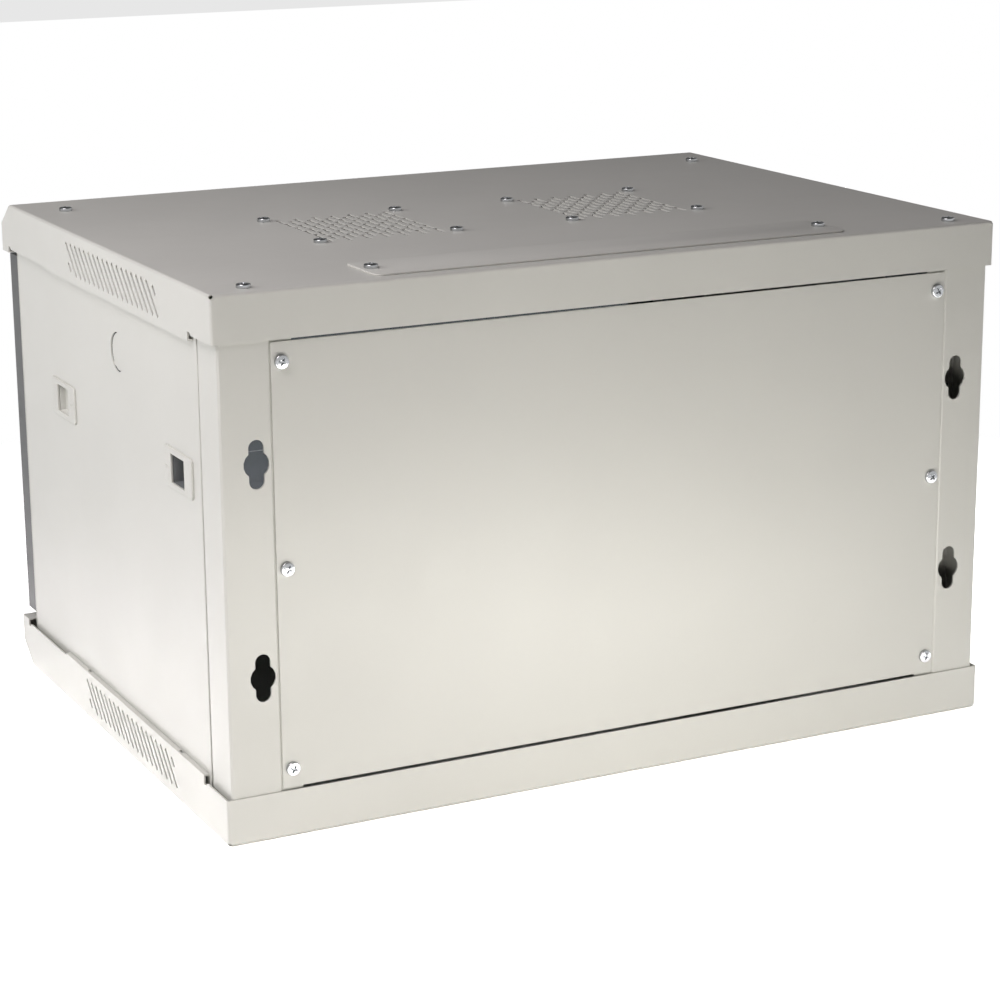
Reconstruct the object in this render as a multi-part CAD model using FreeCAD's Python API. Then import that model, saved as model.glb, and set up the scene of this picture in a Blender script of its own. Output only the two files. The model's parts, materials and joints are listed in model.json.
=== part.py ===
import FreeCAD, Part
import math
import os

# Wall mount network cabinet, six rack units high, in folded sheet steel.
# Millimetres.  +Z is up, -Y is the glass door, +Y is the wall side, +X is the right-hand side
# of someone who faces the door.  The origin is the middle of the footprint, on the underside
# of the bottom cover.

# --- Overall sizes -------------------------------------------------------------------------
WIDTH = 600.0                 # over the skirts of the covers
DEPTH = 450.0                 # door side of the covers to their wall side
RACK_UNITS = 6
RACK_UNIT = 44.45
END_SPACE = 50.65             # outside of a cover to the first rack unit
HEIGHT = RACK_UNITS * RACK_UNIT + 2 * END_SPACE

# --- Sheet thicknesses, bends and clearances -----------------------------------------------
COVER_SHEET = 1.2
POST_SHEET = 1.5
SIDE_SHEET = 1.0
BACK_SHEET = 1.2
BRACE_SHEET = 1.5
RAIL_SHEET = 1.5
DOOR_SHEET = 1.2
BEND = 0.8                    # inside radius of a bend
BEND_BEVEL = 0.6              # a bend's bevel in a hidden frame part, as a share of its radius
FIT = 0.3                     # gap between pieces that slide past each other
THREAD_FIT = 0.05             # gap round a screw in its thread
SCREW_FIT = 0.3               # gap round a screw in a plain hole

# --- Covers (the same folded tray above and below) ------------------------------------------
REAR_SKIRT = 32.0
SIDE_SKIRT = 36.5             # where the side skirt is hemmed
PLAIN_SKIRT = 34.5            # side skirt ahead of the hem
FRONT_SKIRT = 37.5
CHAMFER_BACK = 24.0
CHAMFER_DROP = 18.0
LIP = 17.0                    # front skirt turned in under the door
SIDE_INSET = 4.0              # side panels behind the skirts
HEM_TO_WALL = 43.0            # wall side of the cover to the end of the hem
HEM_TO_DOOR = 112.0           # door side of the cover to the end of the hem
HEM_NOTCH = 6.0
HEM_NOTCH_SPACING = 196.0
RELIEF_WIDTH = 6.0            # cut between the hem and the plain skirt
RELIEF_RISE = 2.0
CORNER_HOLE = 3.0             # drilled where three bends meet

# --- Slanted vents in the side skirts --------------------------------------------------------
VENT_COUNT = 18
VENT_PITCH = 10.0
VENT_LENGTH = 31.0
VENT_WIDTH = 3.0
VENT_STUB = 8.0               # short slot that fills each end of the row
VENT_STUB_SHIFT = 6.0
VENT_FROM_CENTRE = 32.0       # middle of the row, towards the wall
VENT_BELOW_ROOF = 19.5

# --- Fans and their grilles ------------------------------------------------------------------
FAN_CENTRES = (-90.0, 108.0)
FAN_FROM_CENTRE = 21.0
FAN_SIZE = 120.0
FAN_HOLE_INSET = 7.5          # fixing holes to the sides of the housing
FAN_DEPTH = 25.0
FAN_RIM = 2.0                 # housing round its bore, where it is thinnest
FAN_SCREW_LENGTH = 12.0
FAN_TIP_GAP = 1.5
FAN_HUB = 40.0
FAN_BLADES = 7
FAN_SHAFT = 3.0
FAN_ARM = 3.0                 # height and width of the arms that hold the bearing
FAN_END_GAP = 1.5             # rotor to the roof and to the arms
FAN_CUP_WALL = 2.0
BLADE_SHEET = 1.6
BLADE_ROOT_CHORD = 16.0
BLADE_TIP_CHORD = 24.0
BLADE_ROOT_PITCH = 42.0       # degrees from level
BLADE_TIP_PITCH = 26.0
GRILLE_COLUMNS = 13
GRILLE_ROWS = 6
GRILLE_PITCH_X = 7.1
GRILLE_PITCH_Y = 17.8
GRILLE_SLOT_WIDTH = 3.5
GRILLE_SLOT_LENGTH = 15.0

# --- Cable entries ---------------------------------------------------------------------------
ENTRY_COVER_WIDTH = 362.0
ENTRY_COVER_DEPTH = 52.0
ENTRY_COVER_TO_WALL = 10.5
ENTRY_BORDER = 9.0            # cover plate over the edge of the hole
ENTRY_SCREW_INSET = 7.5       # plate screw to the end of the plate
ENTRY_LAND = 7.0              # metal between a plate screw and the end of the hole
ENTRY_CORNER = 6.0

# --- Posts and wall keyholes -------------------------------------------------------------------
REAR_INSET = COVER_SHEET + FIT
REAR_POST_SIDE = 35.5         # wall face of the post to its return flange
REAR_POST_FACE = 34.8         # side of the post to the step that takes the back panel
REAR_POST_RETURN = 18.0
FRONT_POST_SETBACK = 25.0     # door side of the covers to the front flange
FRONT_POST_DEPTH = 62.4
FRONT_POST_WIDTH = 34.0
KEYHOLE_FROM_SIDE = 28.5      # keyholes to the outside of the covers
KEYHOLE_SPACING_Z = 143.5
KEYHOLE_ROUND = 18.0
KEYHOLE_SLOT = 10.7
KEYHOLE_LENGTH = 32.7
FRAME_SCREW_SIDE = 29.0       # corner screw to the side of the cover
FRAME_SCREW_REAR = 16.0       # corner screw to the wall side of the cover
FRAME_SCREW_FRONT = 73.0      # corner screw to the door side of the cover

# --- Back panel --------------------------------------------------------------------------------
BACK_EDGE_GAP = 1.8           # panel to the skirts above and below
BACK_SCREW_INSET = 7.0
BACK_SCREW_END = 13.0

# --- Braces and rack rails ----------------------------------------------------------------------
BRACE_HEIGHT = 25.5
BRACE_FRONT_TAB = 23.0        # how far the front tab lies over the front post
BRACE_REAR_EDGE = 1.0         # rear tab to the step in the rear post
BRACE_SLOTS = 4
BRACE_SLOT_LENGTH = 52.0
BRACE_SLOT_WIDTH = 6.0
RAIL_FROM_SIDE = 75.0         # rack opening to the outside of the covers
RAIL_HOLE_INSET = 7.55        # columns of holes to the rack opening
RAIL_FACE = 20.0
RAIL_WEB = 35.0
RAIL_LIP = 10.0
RAIL_EXTRA = 16.0             # rail past the first and last rack unit
RAIL_SQUARE = 9.5
RAIL_HOLE_STEPS = (6.35, 22.225, 38.1)
RAIL_SETBACK = 105.0
RAIL_SCREW_BACK = 18.0        # rail's face to its fixing screw
RAIL_RANGE = 249.0            # how far back the rail's fixing screws can be moved

# --- Side panels and their latches ---------------------------------------------------------------
SIDE_FOLD = 7.0
SIDE_LAP_BELOW = 10.0         # panel behind the lower hem
SIDE_LAP_ABOVE = 19.0
SIDE_TAB = 10.0               # ledge on a post that carries the panel
KNOCKOUT = 27.0
KNOCKOUT_CUT = 0.9
KNOCKOUT_BRIDGE = 16.0        # degrees of metal left at each bridge
KNOCKOUT_FROM_CENTRE = 29.0
KNOCKOUT_BELOW_TOP = 72.0
LATCH_BELOW_TOP = 131.0
LATCH_TO_FLANGE = 41.0
LATCH_LENGTH = 53.0
LATCH_HEIGHT = 28.0
LATCH_PROUD = 1.8
LATCH_WINDOW_LENGTH = 25.0
LATCH_WINDOW_HEIGHT = 20.0
LATCH_WALL = 1.2
LATCH_DEPTH = 14.0
LATCH_POCKET_DEEP = 10.5
LATCH_POCKET_SHALLOW = 4.5
LATCH_REACH = 5.0             # tongue past the far side of the flange it holds
LATCH_FREE = 0.5              # tongue clear of the flange when drawn back
LATCH_TONGUE_HEIGHT = 15.0
LATCH_TONGUE_THICK = 2.6
LATCH_TONGUE_DROP = 1.0       # tongue below the fold of the panel
LATCH_CORNER = 2.0

# --- Door, hinge and lock ---------------------------------------------------------------------------
DOOR_SIDE_GAP = 5.0           # door to the outside of the skirts
DOOR_BELOW = 6.5              # door above the lower lip
DOOR_ABOVE = 2.5              # door below the upper lip
DOOR_RECESS = 2.0             # door behind the front of the covers
DOOR_THICK = 20.0
DOOR_STILE = 45.0
DOOR_LIP = 12.0
DOOR_CORNER = 1.5
GLASS = 4.0
GLASS_LAP = 8.0
SEAL = 1.0
GLASS_CLIPS = 3               # on the upper and on the lower edge
CLIP_WIDTH = 14.0
HINGE_FROM_EDGE = 7.5
HINGE_FROM_REAR = 11.5
HINGE_PIN = 5.0
HINGE_RUN = 0.05              # running fit of the pin in its bush
HINGE_BUSH_FLANGE = 12.0
HINGE_BUSH_BODY = 8.0
HINGE_BRACKET_RISE = 16.0
LOCK_FROM_EDGE = 23.0
LOCK_BARREL = 16.0
LOCK_HEAD = 22.0
LOCK_PLUG = 11.0
LOCK_CAM_WIDTH = 12.0
LOCK_CAM_THICK = 2.0
LOCK_NUT = 23.0
LOCK_NUT_THICK = 4.0
LOCK_ROOM = 1.0               # barrel and cam to the cut-out in the front post

# --- Screws -----------------------------------------------------------------------------------------
SCREW = 5.0
SCREW_HEAD = 9.6
SCREW_HEAD_HEIGHT = 3.3
FLUSH_HEAD = 10.0
HEAD_SIDES = 8
SHANK_SIDES = 6
TURNED_SIDES = 16             # larger round pieces that nothing turns in

# --- Places worked out from the sizes above ----------------------------------------------------------
FAN_HOLES = FAN_SIZE - 2 * FAN_HOLE_INSET            # between the fan's screws
FAN_RING = FAN_SIZE - 2 * FAN_RIM                    # bore of the fan housing
DOOR_FACE = -DEPTH / 2
WALL_FACE = DEPTH / 2
SIDE_X = WIDTH / 2 - SIDE_INSET                      # outside of posts and side panels
POST_REAR = WALL_FACE - REAR_INSET                   # wall face of the rear posts
POST_RETURN = POST_REAR - REAR_POST_SIDE             # front of the rear posts
FRONT_FLANGE = DOOR_FACE + FRONT_POST_SETBACK        # door side of the front posts
FRONT_POST_REAR = FRONT_FLANGE + FRONT_POST_DEPTH    # wall side of the front posts
FRAME_X = WIDTH / 2 - FRAME_SCREW_SIDE
KEYHOLE_X = WIDTH / 2 - KEYHOLE_FROM_SIDE
FRAME_Y = (WALL_FACE - FRAME_SCREW_REAR, DOOR_FACE + FRAME_SCREW_FRONT)
POST_BOTTOM = COVER_SHEET
POST_TOP = HEIGHT - COVER_SHEET
STEP_Y = POST_REAR - BACK_SHEET                      # seat of the back panel
STEP_X = SIDE_X - REAR_POST_FACE                     # edge of the stepped flange
BACK_EDGE = STEP_X - BACK_SHEET - FIT
RACK_HALF = WIDTH / 2 - RAIL_FROM_SIDE               # half of the 19 inch rack opening
BRACE_X = RACK_HALF + RAIL_FACE                      # inner face of the braces
BRACE_TAB_X = SIDE_X - FRONT_POST_WIDTH + BRACE_FRONT_TAB
BACK_LOW = REAR_SKIRT + BACK_EDGE_GAP
BACK_SCREW_X = BACK_EDGE - BACK_SCREW_INSET
BACK_SCREW_Z = (BACK_LOW + BACK_SCREW_END, HEIGHT / 2, HEIGHT - BACK_LOW - BACK_SCREW_END)
BRACE_Z = (BACK_SCREW_Z[0], BACK_SCREW_Z[2])
PANEL_FRONT = FRONT_FLANGE + POST_SHEET + FIT
PANEL_REAR = POST_RETURN - FIT
PANEL_LOW = SIDE_SKIRT - SIDE_LAP_BELOW
PANEL_HIGH = HEIGHT - SIDE_SKIRT + SIDE_LAP_ABOVE
LATCH_Z = HEIGHT - LATCH_BELOW_TOP
LATCH_Y = POST_RETURN - LATCH_TO_FLANGE
LATCH_MIRROR = (POST_RETURN + FRONT_POST_REAR) / 2
HEM_REAR = WALL_FACE - HEM_TO_WALL
HEM_FRONT = DOOR_FACE + HEM_TO_DOOR
DOOR_X = WIDTH / 2 - DOOR_SIDE_GAP
DOOR_FRONT = DOOR_FACE + DOOR_RECESS
DOOR_REAR = DOOR_FRONT + DOOR_THICK
DOOR_LOW = FRONT_SKIRT + DOOR_BELOW
DOOR_HIGH = HEIGHT - FRONT_SKIRT - DOOR_ABOVE
HINGE_X = -DOOR_X + HINGE_FROM_EDGE
HINGE_Y = DOOR_REAR - HINGE_FROM_REAR
LOCK_X = DOOR_X - LOCK_FROM_EDGE
LOCK_Z = (DOOR_LOW + DOOR_HIGH) / 2
CAM_FRONT = FRONT_FLANGE + POST_SHEET + FIT


def vec(x, y, z):
    return FreeCAD.Vector(x, y, z)


def box(low, high):
    """A box between two opposite corners."""
    size = [b - a for a, b in zip(low, high)]
    return Part.makeBox(size[0], size[1], size[2], vec(*low))


def rod(radius, start, end):
    """A cylinder from one point to another."""
    run = vec(*end) - vec(*start)
    return Part.makeCylinder(radius, run.Length, vec(*start), run)


def prism(points, run):
    """The polygon through points, swept along run."""
    corners = [vec(*p) for p in points]
    wire = Part.makePolygon(corners + corners[:1])
    return Part.Face(wire).extrude(vec(*run))


def ring(sides, across, centre, axis):
    """The corners of a regular outline square to an axis."""
    run = vec(*axis)
    side = run.cross(vec(0, 0, 1) if abs(run.z) < 0.5 * run.Length else vec(1, 0, 0))
    side.normalize()
    other = run.cross(side)
    other.normalize()
    corners = []
    for step in range(sides):
        turn = 2 * math.pi * (step + 0.5) / sides
        arm = side * math.cos(turn) + other * math.sin(turn)
        corners.append(tuple(vec(*centre) + arm * (across / 2)))
    return corners


def regular_prism(sides, across, start, run):
    """A prism of equal sides, across its corners, from start along run."""
    return prism(ring(sides, across, start, run), run)


def bridged(first, last):
    """The solid between two outlines with as many corners, its sides in flat triangles."""

    def facet(points):
        corners = [vec(*p) for p in points]
        return Part.Face(Part.makePolygon(corners + corners[:1]))

    faces = [facet(first), facet(last)]
    for index in range(len(first)):
        a, b = first[index - 1], first[index]
        c, d = last[index - 1], last[index]
        faces += [facet([a, b, d]), facet([a, d, c])]
    solid = Part.Solid(Part.Shell(faces))
    if solid.Volume < 0:
        solid.reverse()
    return solid.removeSplitter()


def joined(shapes):
    """One solid from shapes that touch or overlap."""
    return shapes[0].fuse(shapes[1:]).removeSplitter()


def mirror_x(shape):
    """The piece for the other side of the cabinet."""
    return shape.mirror(vec(0, 0, 0), vec(1, 0, 0))


def edges_along(shape, axis, test):
    """The straight edges along an axis (0, 1, 2) whose middle passes test(x, y, z)."""
    found = []
    for edge in shape.Edges:
        if len(edge.Vertexes) != 2:
            continue
        run = edge.Vertexes[1].Point - edge.Vertexes[0].Point
        if run.Length < 1e-6 or abs(abs(run[axis]) - run.Length) > 1e-6:
            continue
        middle = (edge.Vertexes[1].Point + edge.Vertexes[0].Point) * 0.5
        if test(middle.x, middle.y, middle.z):
            found.append(edge)
    return found


def offset_path(path, thickness):
    """The path moved to its left by thickness, mitred at its corners."""
    normals = []
    for (ax, ay), (bx, by) in zip(path, path[1:]):
        length = math.hypot(bx - ax, by - ay)
        normals.append(((ay - by) / length, (bx - ax) / length))
    moved = []
    for index, (x, y) in enumerate(path):
        before = normals[max(index - 1, 0)]
        after = normals[min(index, len(normals) - 1)]
        share = thickness / (1 + before[0] * after[0] + before[1] * after[1])
        moved.append((x + share * (before[0] + after[0]), y + share * (before[1] + after[1])))
    return moved


def bevelled(path, thickness):
    """The path with a flat across each bend; the sheet lies to its left by thickness."""
    points = [path[0]]
    for (ax, ay), (bx, by), (cx, cy) in zip(path, path[1:], path[2:]):
        came = vec(bx - ax, by - ay, 0).normalize()
        goes = vec(cx - bx, cy - by, 0).normalize()
        turn = math.atan2(came.x * goes.y - came.y * goes.x, came.dot(goes))
        radius = BEND + abs(thickness) if turn * thickness > 0 else BEND
        cut = BEND_BEVEL * radius * math.tan(abs(turn) / 2)
        points.append((bx - came.x * cut, by - came.y * cut))
        points.append((bx + goes.x * cut, by + goes.y * cut))
    return points + [path[-1]]


def folded(path, thickness, low, high):
    """Sheet folded along a plan path, upright from low to high, with its bends bevelled.

    The path is one face of the sheet.  The other face is to its left, or to its right where
    the thickness is negative.
    """
    face = bevelled(path, thickness)
    other = bevelled(offset_path(path, thickness), -thickness)
    outline = [(x, y, low) for x, y in face + other[::-1]]
    return prism(outline, (0, 0, high - low))


def bent_box(low, high, radius, axis, place):
    """A box with the four edges round one face bent, and mitred where two bends meet."""

    def on_face(*middle):
        return abs(middle[axis] - place) < 1e-6

    result = box(low, high)
    for way in range(3):
        if way != axis:
            block = box(low, high)
            result = result.common(block.makeFillet(radius, edges_along(block, way, on_face)))
    return result


def slot_points(length, width):
    """A slot's outline about its middle, with bevelled ends, long side along the first axis."""
    half, side = length / 2, width / 2
    return [(-half, 0), (-half + side, -side), (half - side, -side),
            (half, 0), (half - side, side), (-half + side, side)]


def pan_screw(seat, out, length):
    """A pan head screw: its head stands on seat and points along out, the shank goes back."""
    direction = vec(*out)
    head = regular_prism(HEAD_SIDES, SCREW_HEAD, seat, tuple(direction * SCREW_HEAD_HEIGHT))
    shank = regular_prism(SHANK_SIDES, SCREW, seat, tuple(direction * -length))
    return joined([head, shank])


def group(solids):
    """Separate solids that share one node."""
    return Part.makeCompound(solids)


# --- Covers --------------------------------------------------------------------------------------------


def cover_profile(inset, bottom):
    """Side view of the cover, moved in by inset and open below at bottom.  Its roof is at 0."""
    slope = math.hypot(CHAMFER_BACK, CHAMFER_DROP)
    roof_end = DOOR_FACE + CHAMFER_BACK + inset * (slope - CHAMFER_BACK) / CHAMFER_DROP
    front_top = -CHAMFER_DROP - inset * (slope - CHAMFER_DROP) / CHAMFER_BACK
    return [(WALL_FACE - inset, -inset), (WALL_FACE - inset, bottom),
            (DOOR_FACE + inset, bottom), (DOOR_FACE + inset, front_top),
            (roof_end, -inset)]


def cover_body(inset, bottom, radius, bends_lip):
    """The solid inside one face of the cover's sheet, its bends rounded and mitred."""
    half = WIDTH / 2 - inset
    rear, front = WALL_FACE - inset, DOOR_FACE + inset

    def across(x, y, z):
        return z > bottom + 1e-6 or (bends_lip and abs(y - front) < 1e-6)

    def beside_roof(x, y, z):
        return abs(z + inset) < 1e-6

    def upright(x, y, z):
        return True

    body = prism([(-half, y, z) for y, z in cover_profile(inset, bottom)], (2 * half, 0, 0))
    body = body.makeFillet(radius, edges_along(body, 0, across))
    block = box((-half, front, bottom), (half, rear, -inset))
    body = body.common(block.makeFillet(radius, edges_along(block, 1, beside_roof)))
    return body.common(block.makeFillet(radius, edges_along(block, 2, upright)))


def skirt_edge():
    """The lower edge of the side skirts, as (y, z), with the cuts that let the sheet fold."""
    rear = HEM_REAR + RELIEF_WIDTH
    lip_end = DOOR_FACE + LIP
    front = lip_end + RELIEF_WIDTH
    return [(WALL_FACE + 1, -REAR_SKIRT), (rear, -REAR_SKIRT),
            (rear - RELIEF_RISE, -REAR_SKIRT + RELIEF_RISE),
            (HEM_REAR, -REAR_SKIRT + RELIEF_RISE), (HEM_REAR, -SIDE_SKIRT),
            (HEM_FRONT, -SIDE_SKIRT), (HEM_FRONT - (SIDE_SKIRT - PLAIN_SKIRT), -PLAIN_SKIRT),
            (front, -PLAIN_SKIRT), (front - RELIEF_RISE, -PLAIN_SKIRT + RELIEF_RISE),
            (lip_end, -PLAIN_SKIRT + RELIEF_RISE)]


def hem(side):
    """The strip that turns in along the lower edge of one side skirt."""
    outer = side * WIDTH / 2
    inner = side * (WIDTH / 2 - SIDE_INSET + FIT)
    low, high = sorted((outer - side * COVER_SHEET / 2, inner))
    strip = box((low, HEM_FRONT, -SIDE_SKIRT), (high, HEM_REAR, -SIDE_SKIRT + COVER_SHEET))
    middle = (HEM_FRONT + HEM_REAR) / 2
    notches = []
    for shift in (-HEM_NOTCH_SPACING / 2, HEM_NOTCH_SPACING / 2):
        edge = inner + side * SIDE_INSET / 2
        near, far = sorted((inner - side, edge))
        notches.append(box((near, middle + shift - HEM_NOTCH / 2, -SIDE_SKIRT - 1),
                           (far, middle + shift + HEM_NOTCH / 2, -SIDE_SKIRT + 2 * COVER_SHEET)))
    return strip.cut(notches)


def slanted_slot(side, y, z, length):
    """Cutter for one vent slot, leaning at 45 degrees, the other way on the other side."""
    lean = math.sqrt(0.5)
    half, wide = length / 2, VENT_WIDTH / 2
    corners = []
    for a, b in ((-half, -wide), (half, -wide), (half, wide), (-half, wide)):
        corners.append((side * (WIDTH / 2 + 1), y + side * (a + b) * lean, z + (b - a) * lean))
    return prism(corners, (-side * (COVER_SHEET + 2), 0, 0))


def vents(side):
    """Cutters for the row of slots in one side skirt."""
    cutters = []
    first = VENT_FROM_CENTRE - VENT_PITCH * (VENT_COUNT - 1) / 2
    for index in range(VENT_COUNT):
        cutters.append(slanted_slot(side, first + index * VENT_PITCH, -VENT_BELOW_ROOF,
                                    VENT_LENGTH))
    for end in (-1, 1):
        y = VENT_FROM_CENTRE + end * VENT_PITCH * (VENT_COUNT + 1) / 2
        y_stub = y - end * VENT_STUB_SHIFT
        z_stub = -VENT_BELOW_ROOF + end * side * VENT_STUB_SHIFT
        cutters.append(slanted_slot(side, y_stub, z_stub, VENT_STUB))
    return cutters


def entry_screw_x():
    """Plate screws to the middle of the cable entry."""
    return ENTRY_COVER_WIDTH / 2 - ENTRY_SCREW_INSET


def entry_y():
    """Middle of the cable entry."""
    return WALL_FACE - ENTRY_COVER_TO_WALL - ENTRY_COVER_DEPTH / 2


def cover_tray():
    """The folded tray that both covers start from: its roof at 0, its skirts hanging down."""
    outer = cover_body(0, -FRONT_SKIRT, BEND + COVER_SHEET, True)
    inner = cover_body(COVER_SHEET, -FRONT_SKIRT - COVER_SHEET, BEND, False)
    lip = box((-WIDTH / 2, DOOR_FACE, -FRONT_SKIRT - 2 * COVER_SHEET),
              (WIDTH / 2, DOOR_FACE + LIP, -FRONT_SKIRT + COVER_SHEET))
    tray = outer.cut(inner.cut(lip))
    edge = skirt_edge()
    below = -FRONT_SKIRT - 2 * COVER_SHEET
    outline = edge + [(DOOR_FACE + LIP, below), (WALL_FACE + 1, below)]
    trim = prism([(-WIDTH / 2 - 1, y, z) for y, z in outline], (WIDTH + 2, 0, 0))
    tray = joined([tray.cut(trim), hem(1), hem(-1)])
    cutters = vents(1) + vents(-1)
    hole_x = entry_screw_x() - ENTRY_LAND
    hole_y = ENTRY_COVER_DEPTH / 2 - ENTRY_BORDER
    cutters.append(box((-hole_x, entry_y() - hole_y, -2 * COVER_SHEET),
                       (hole_x, entry_y() + hole_y, COVER_SHEET)))
    for side in (-1, 1):
        corner = (side * WIDTH / 2, WALL_FACE, 0)
        run = 3 * (BEND + COVER_SHEET)
        inside = (corner[0] - side * run, corner[1] - run, corner[2] - run)
        outside = (corner[0] + side * run, corner[1] + run, corner[2] + run)
        way = [b - a for a, b in zip(outside, inside)]
        cutters.append(regular_prism(HEAD_SIDES, CORNER_HOLE, outside, way))
        cutters.append(screw_hole((side * entry_screw_x(), entry_y(), 0), (0, 0, 1)))
    return tray.cut(cutters)


def screw_hole(seat, out, fit=SCREW_FIT):
    """Cutter for a screw's hole through the sheets just behind its seat."""
    direction = vec(*out)
    start = tuple(vec(*seat) + direction)
    return regular_prism(SHANK_SIDES, SCREW + 2 * fit, start, tuple(direction * -6.0))


def frame_seats():
    """Where the corner screws stand, as (x, y)."""
    return [(side * FRAME_X, y) for y in FRAME_Y for side in (-1, 1)]


def fan_seats():
    """Where the fan screws stand, as (x, y)."""
    half = FAN_HOLES / 2
    seats = []
    for x in FAN_CENTRES:
        for dx in (-half, half):
            for dy in (-half, half):
                seats.append((x + dx, FAN_FROM_CENTRE + dy))
    return seats


def grille(x_middle):
    """Cutters for the staggered slots over one fan, long side front to back."""
    cutters = []
    for column in range(GRILLE_COLUMNS):
        x = x_middle + (column - (GRILLE_COLUMNS - 1) / 2) * GRILLE_PITCH_X
        rows = GRILLE_ROWS - column % 2
        for row in range(rows):
            y = FAN_FROM_CENTRE + (row - (rows - 1) / 2) * GRILLE_PITCH_Y
            half, reach = GRILLE_SLOT_WIDTH / 2, GRILLE_SLOT_LENGTH / 2
            cutters.append(box((x - half, y - reach, -2 * COVER_SHEET),
                               (x + half, y + reach, COVER_SHEET)))
    return cutters


def hinge_hole():
    """Cutter for the hinge bushes through both lips."""
    low = FRONT_SKIRT - 2 * COVER_SHEET
    return regular_prism(TURNED_SIDES, HINGE_BUSH_BODY + 2 * THREAD_FIT,
                         (HINGE_X, HINGE_Y, low), (0, 0, HEIGHT - 2 * low))


def top_cover():
    cutters = []
    for x in FAN_CENTRES:
        cutters += grille(x)
    for x, y in fan_seats() + frame_seats():
        cutters.append(screw_hole((x, y, 0), (0, 0, 1)))
    cover = cover_tray().cut(cutters)
    cover.translate(vec(0, 0, HEIGHT))
    return cover.cut(hinge_hole())


def bottom_cover():
    """The same tray turned over, with flush screws so that the cabinet can stand."""
    cover = cover_tray()
    cover.rotate(vec(0, 0, 0), vec(0, 1, 0), 180)
    cutters = [hinge_hole()]
    for x, y in frame_seats():
        cutters.append(flush_screw(x, y, SCREW_FIT / 2))
    return cover.cut(cutters)


def flush_screw(x, y, grow):
    """A countersunk screw from below, or with grow above 0 the cutter for its hole."""
    head = (FLUSH_HEAD - SCREW) / 2
    up = (0, 0, 1)
    cone = bridged(ring(HEAD_SIDES, FLUSH_HEAD + 2 * grow, (x, y, 0), up),
                   ring(HEAD_SIDES, SCREW + 2 * grow, (x, y, head), up))
    length = COVER_SHEET + POST_SHEET + 4.0
    shank = regular_prism(HEAD_SIDES, SCREW + 2 * grow, (x, y, head / 2), (0, 0, length - head / 2))
    return joined([cone, shank])


# --- Posts ------------------------------------------------------------------------------------------

def keyhole(x, z):
    """Cutter for a keyhole that takes a screw head in its middle and hangs either way up."""
    start, end = POST_REAR - 3 * POST_SHEET, POST_REAR + 1
    reach = (KEYHOLE_LENGTH - KEYHOLE_SLOT) / 2
    half = KEYHOLE_SLOT / 2
    parts = [regular_prism(TURNED_SIDES, KEYHOLE_ROUND, (x, start, z), (0, end - start, 0)),
             box((x - half, start, z - reach), (x + half, end, z + reach))]
    for way in (-1, 1):
        parts.append(rod(half, (x, start, z + way * reach), (x, end, z + way * reach)))
    return joined(parts)


def tongue_slot(y):
    """Cutter for the slot in a post flange that a latch tongue passes through."""
    outer = SIDE_X - tongue_top() + LATCH_FREE
    inner = outer - LATCH_TONGUE_THICK - 2 * LATCH_FREE
    half = LATCH_TONGUE_HEIGHT / 2 + LATCH_FREE
    return box((inner, y - 3 * POST_SHEET, LATCH_Z - half),
               (outer, y + 3 * POST_SHEET, LATCH_Z + half))


def tongue_top():
    """How far below the outside of the side panel the latch tongue runs."""
    return SIDE_SHEET + SIDE_FOLD + LATCH_TONGUE_DROP


def panel_ledge(y_low, y_high):
    """The tab on a post that the lower fold of the side panel stands on."""
    outer = SIDE_X - SIDE_SHEET - FIT
    return box((outer - SIDE_FOLD, y_low, PANEL_LOW - POST_SHEET), (outer, y_high, PANEL_LOW))


def rear_post():
    """Rear post on the +X side, from the floor of one cover to the roof of the other."""
    path = [(SIDE_X - REAR_POST_RETURN, POST_RETURN), (SIDE_X, POST_RETURN),
            (SIDE_X, POST_REAR), (STEP_X, POST_REAR),
            (STEP_X - BACK_SHEET, STEP_Y), (BRACE_X, STEP_Y)]
    post = folded(path, POST_SHEET, POST_BOTTOM, POST_TOP)
    parts = [post]
    for low in (POST_BOTTOM, POST_TOP - POST_SHEET):
        parts.append(box((STEP_X, POST_RETURN + POST_SHEET + FIT, low),
                         (SIDE_X - POST_SHEET, POST_REAR - POST_SHEET, low + POST_SHEET)))
    parts.append(panel_ledge(POST_RETURN - SIDE_TAB, POST_RETURN + POST_SHEET))
    cutters = [tongue_slot(POST_RETURN)]
    for way in (-1, 1):
        cutters.append(keyhole(KEYHOLE_X, HEIGHT / 2 + way * KEYHOLE_SPACING_Z / 2))
    for z in BACK_SCREW_Z:
        cutters.append(screw_hole((BACK_SCREW_X, POST_REAR, z), (0, 1, 0), THREAD_FIT))
    for low in (POST_BOTTOM - BEND, POST_TOP - BEND):
        cutters.append(box((0, POST_REAR - BEND, low), (WIDTH, WALL_FACE, low + 2 * BEND)))
    cutters += frame_holes(FRAME_Y[0])
    return joined(parts).cut(cutters)


def frame_holes(y):
    """Cutters for the corner screws in the end flanges of a post on the +X side."""
    return [screw_hole((FRAME_X, y, HEIGHT), (0, 0, 1), THREAD_FIT),
            flush_screw(FRAME_X, y, SCREW_FIT / 2)]


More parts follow.
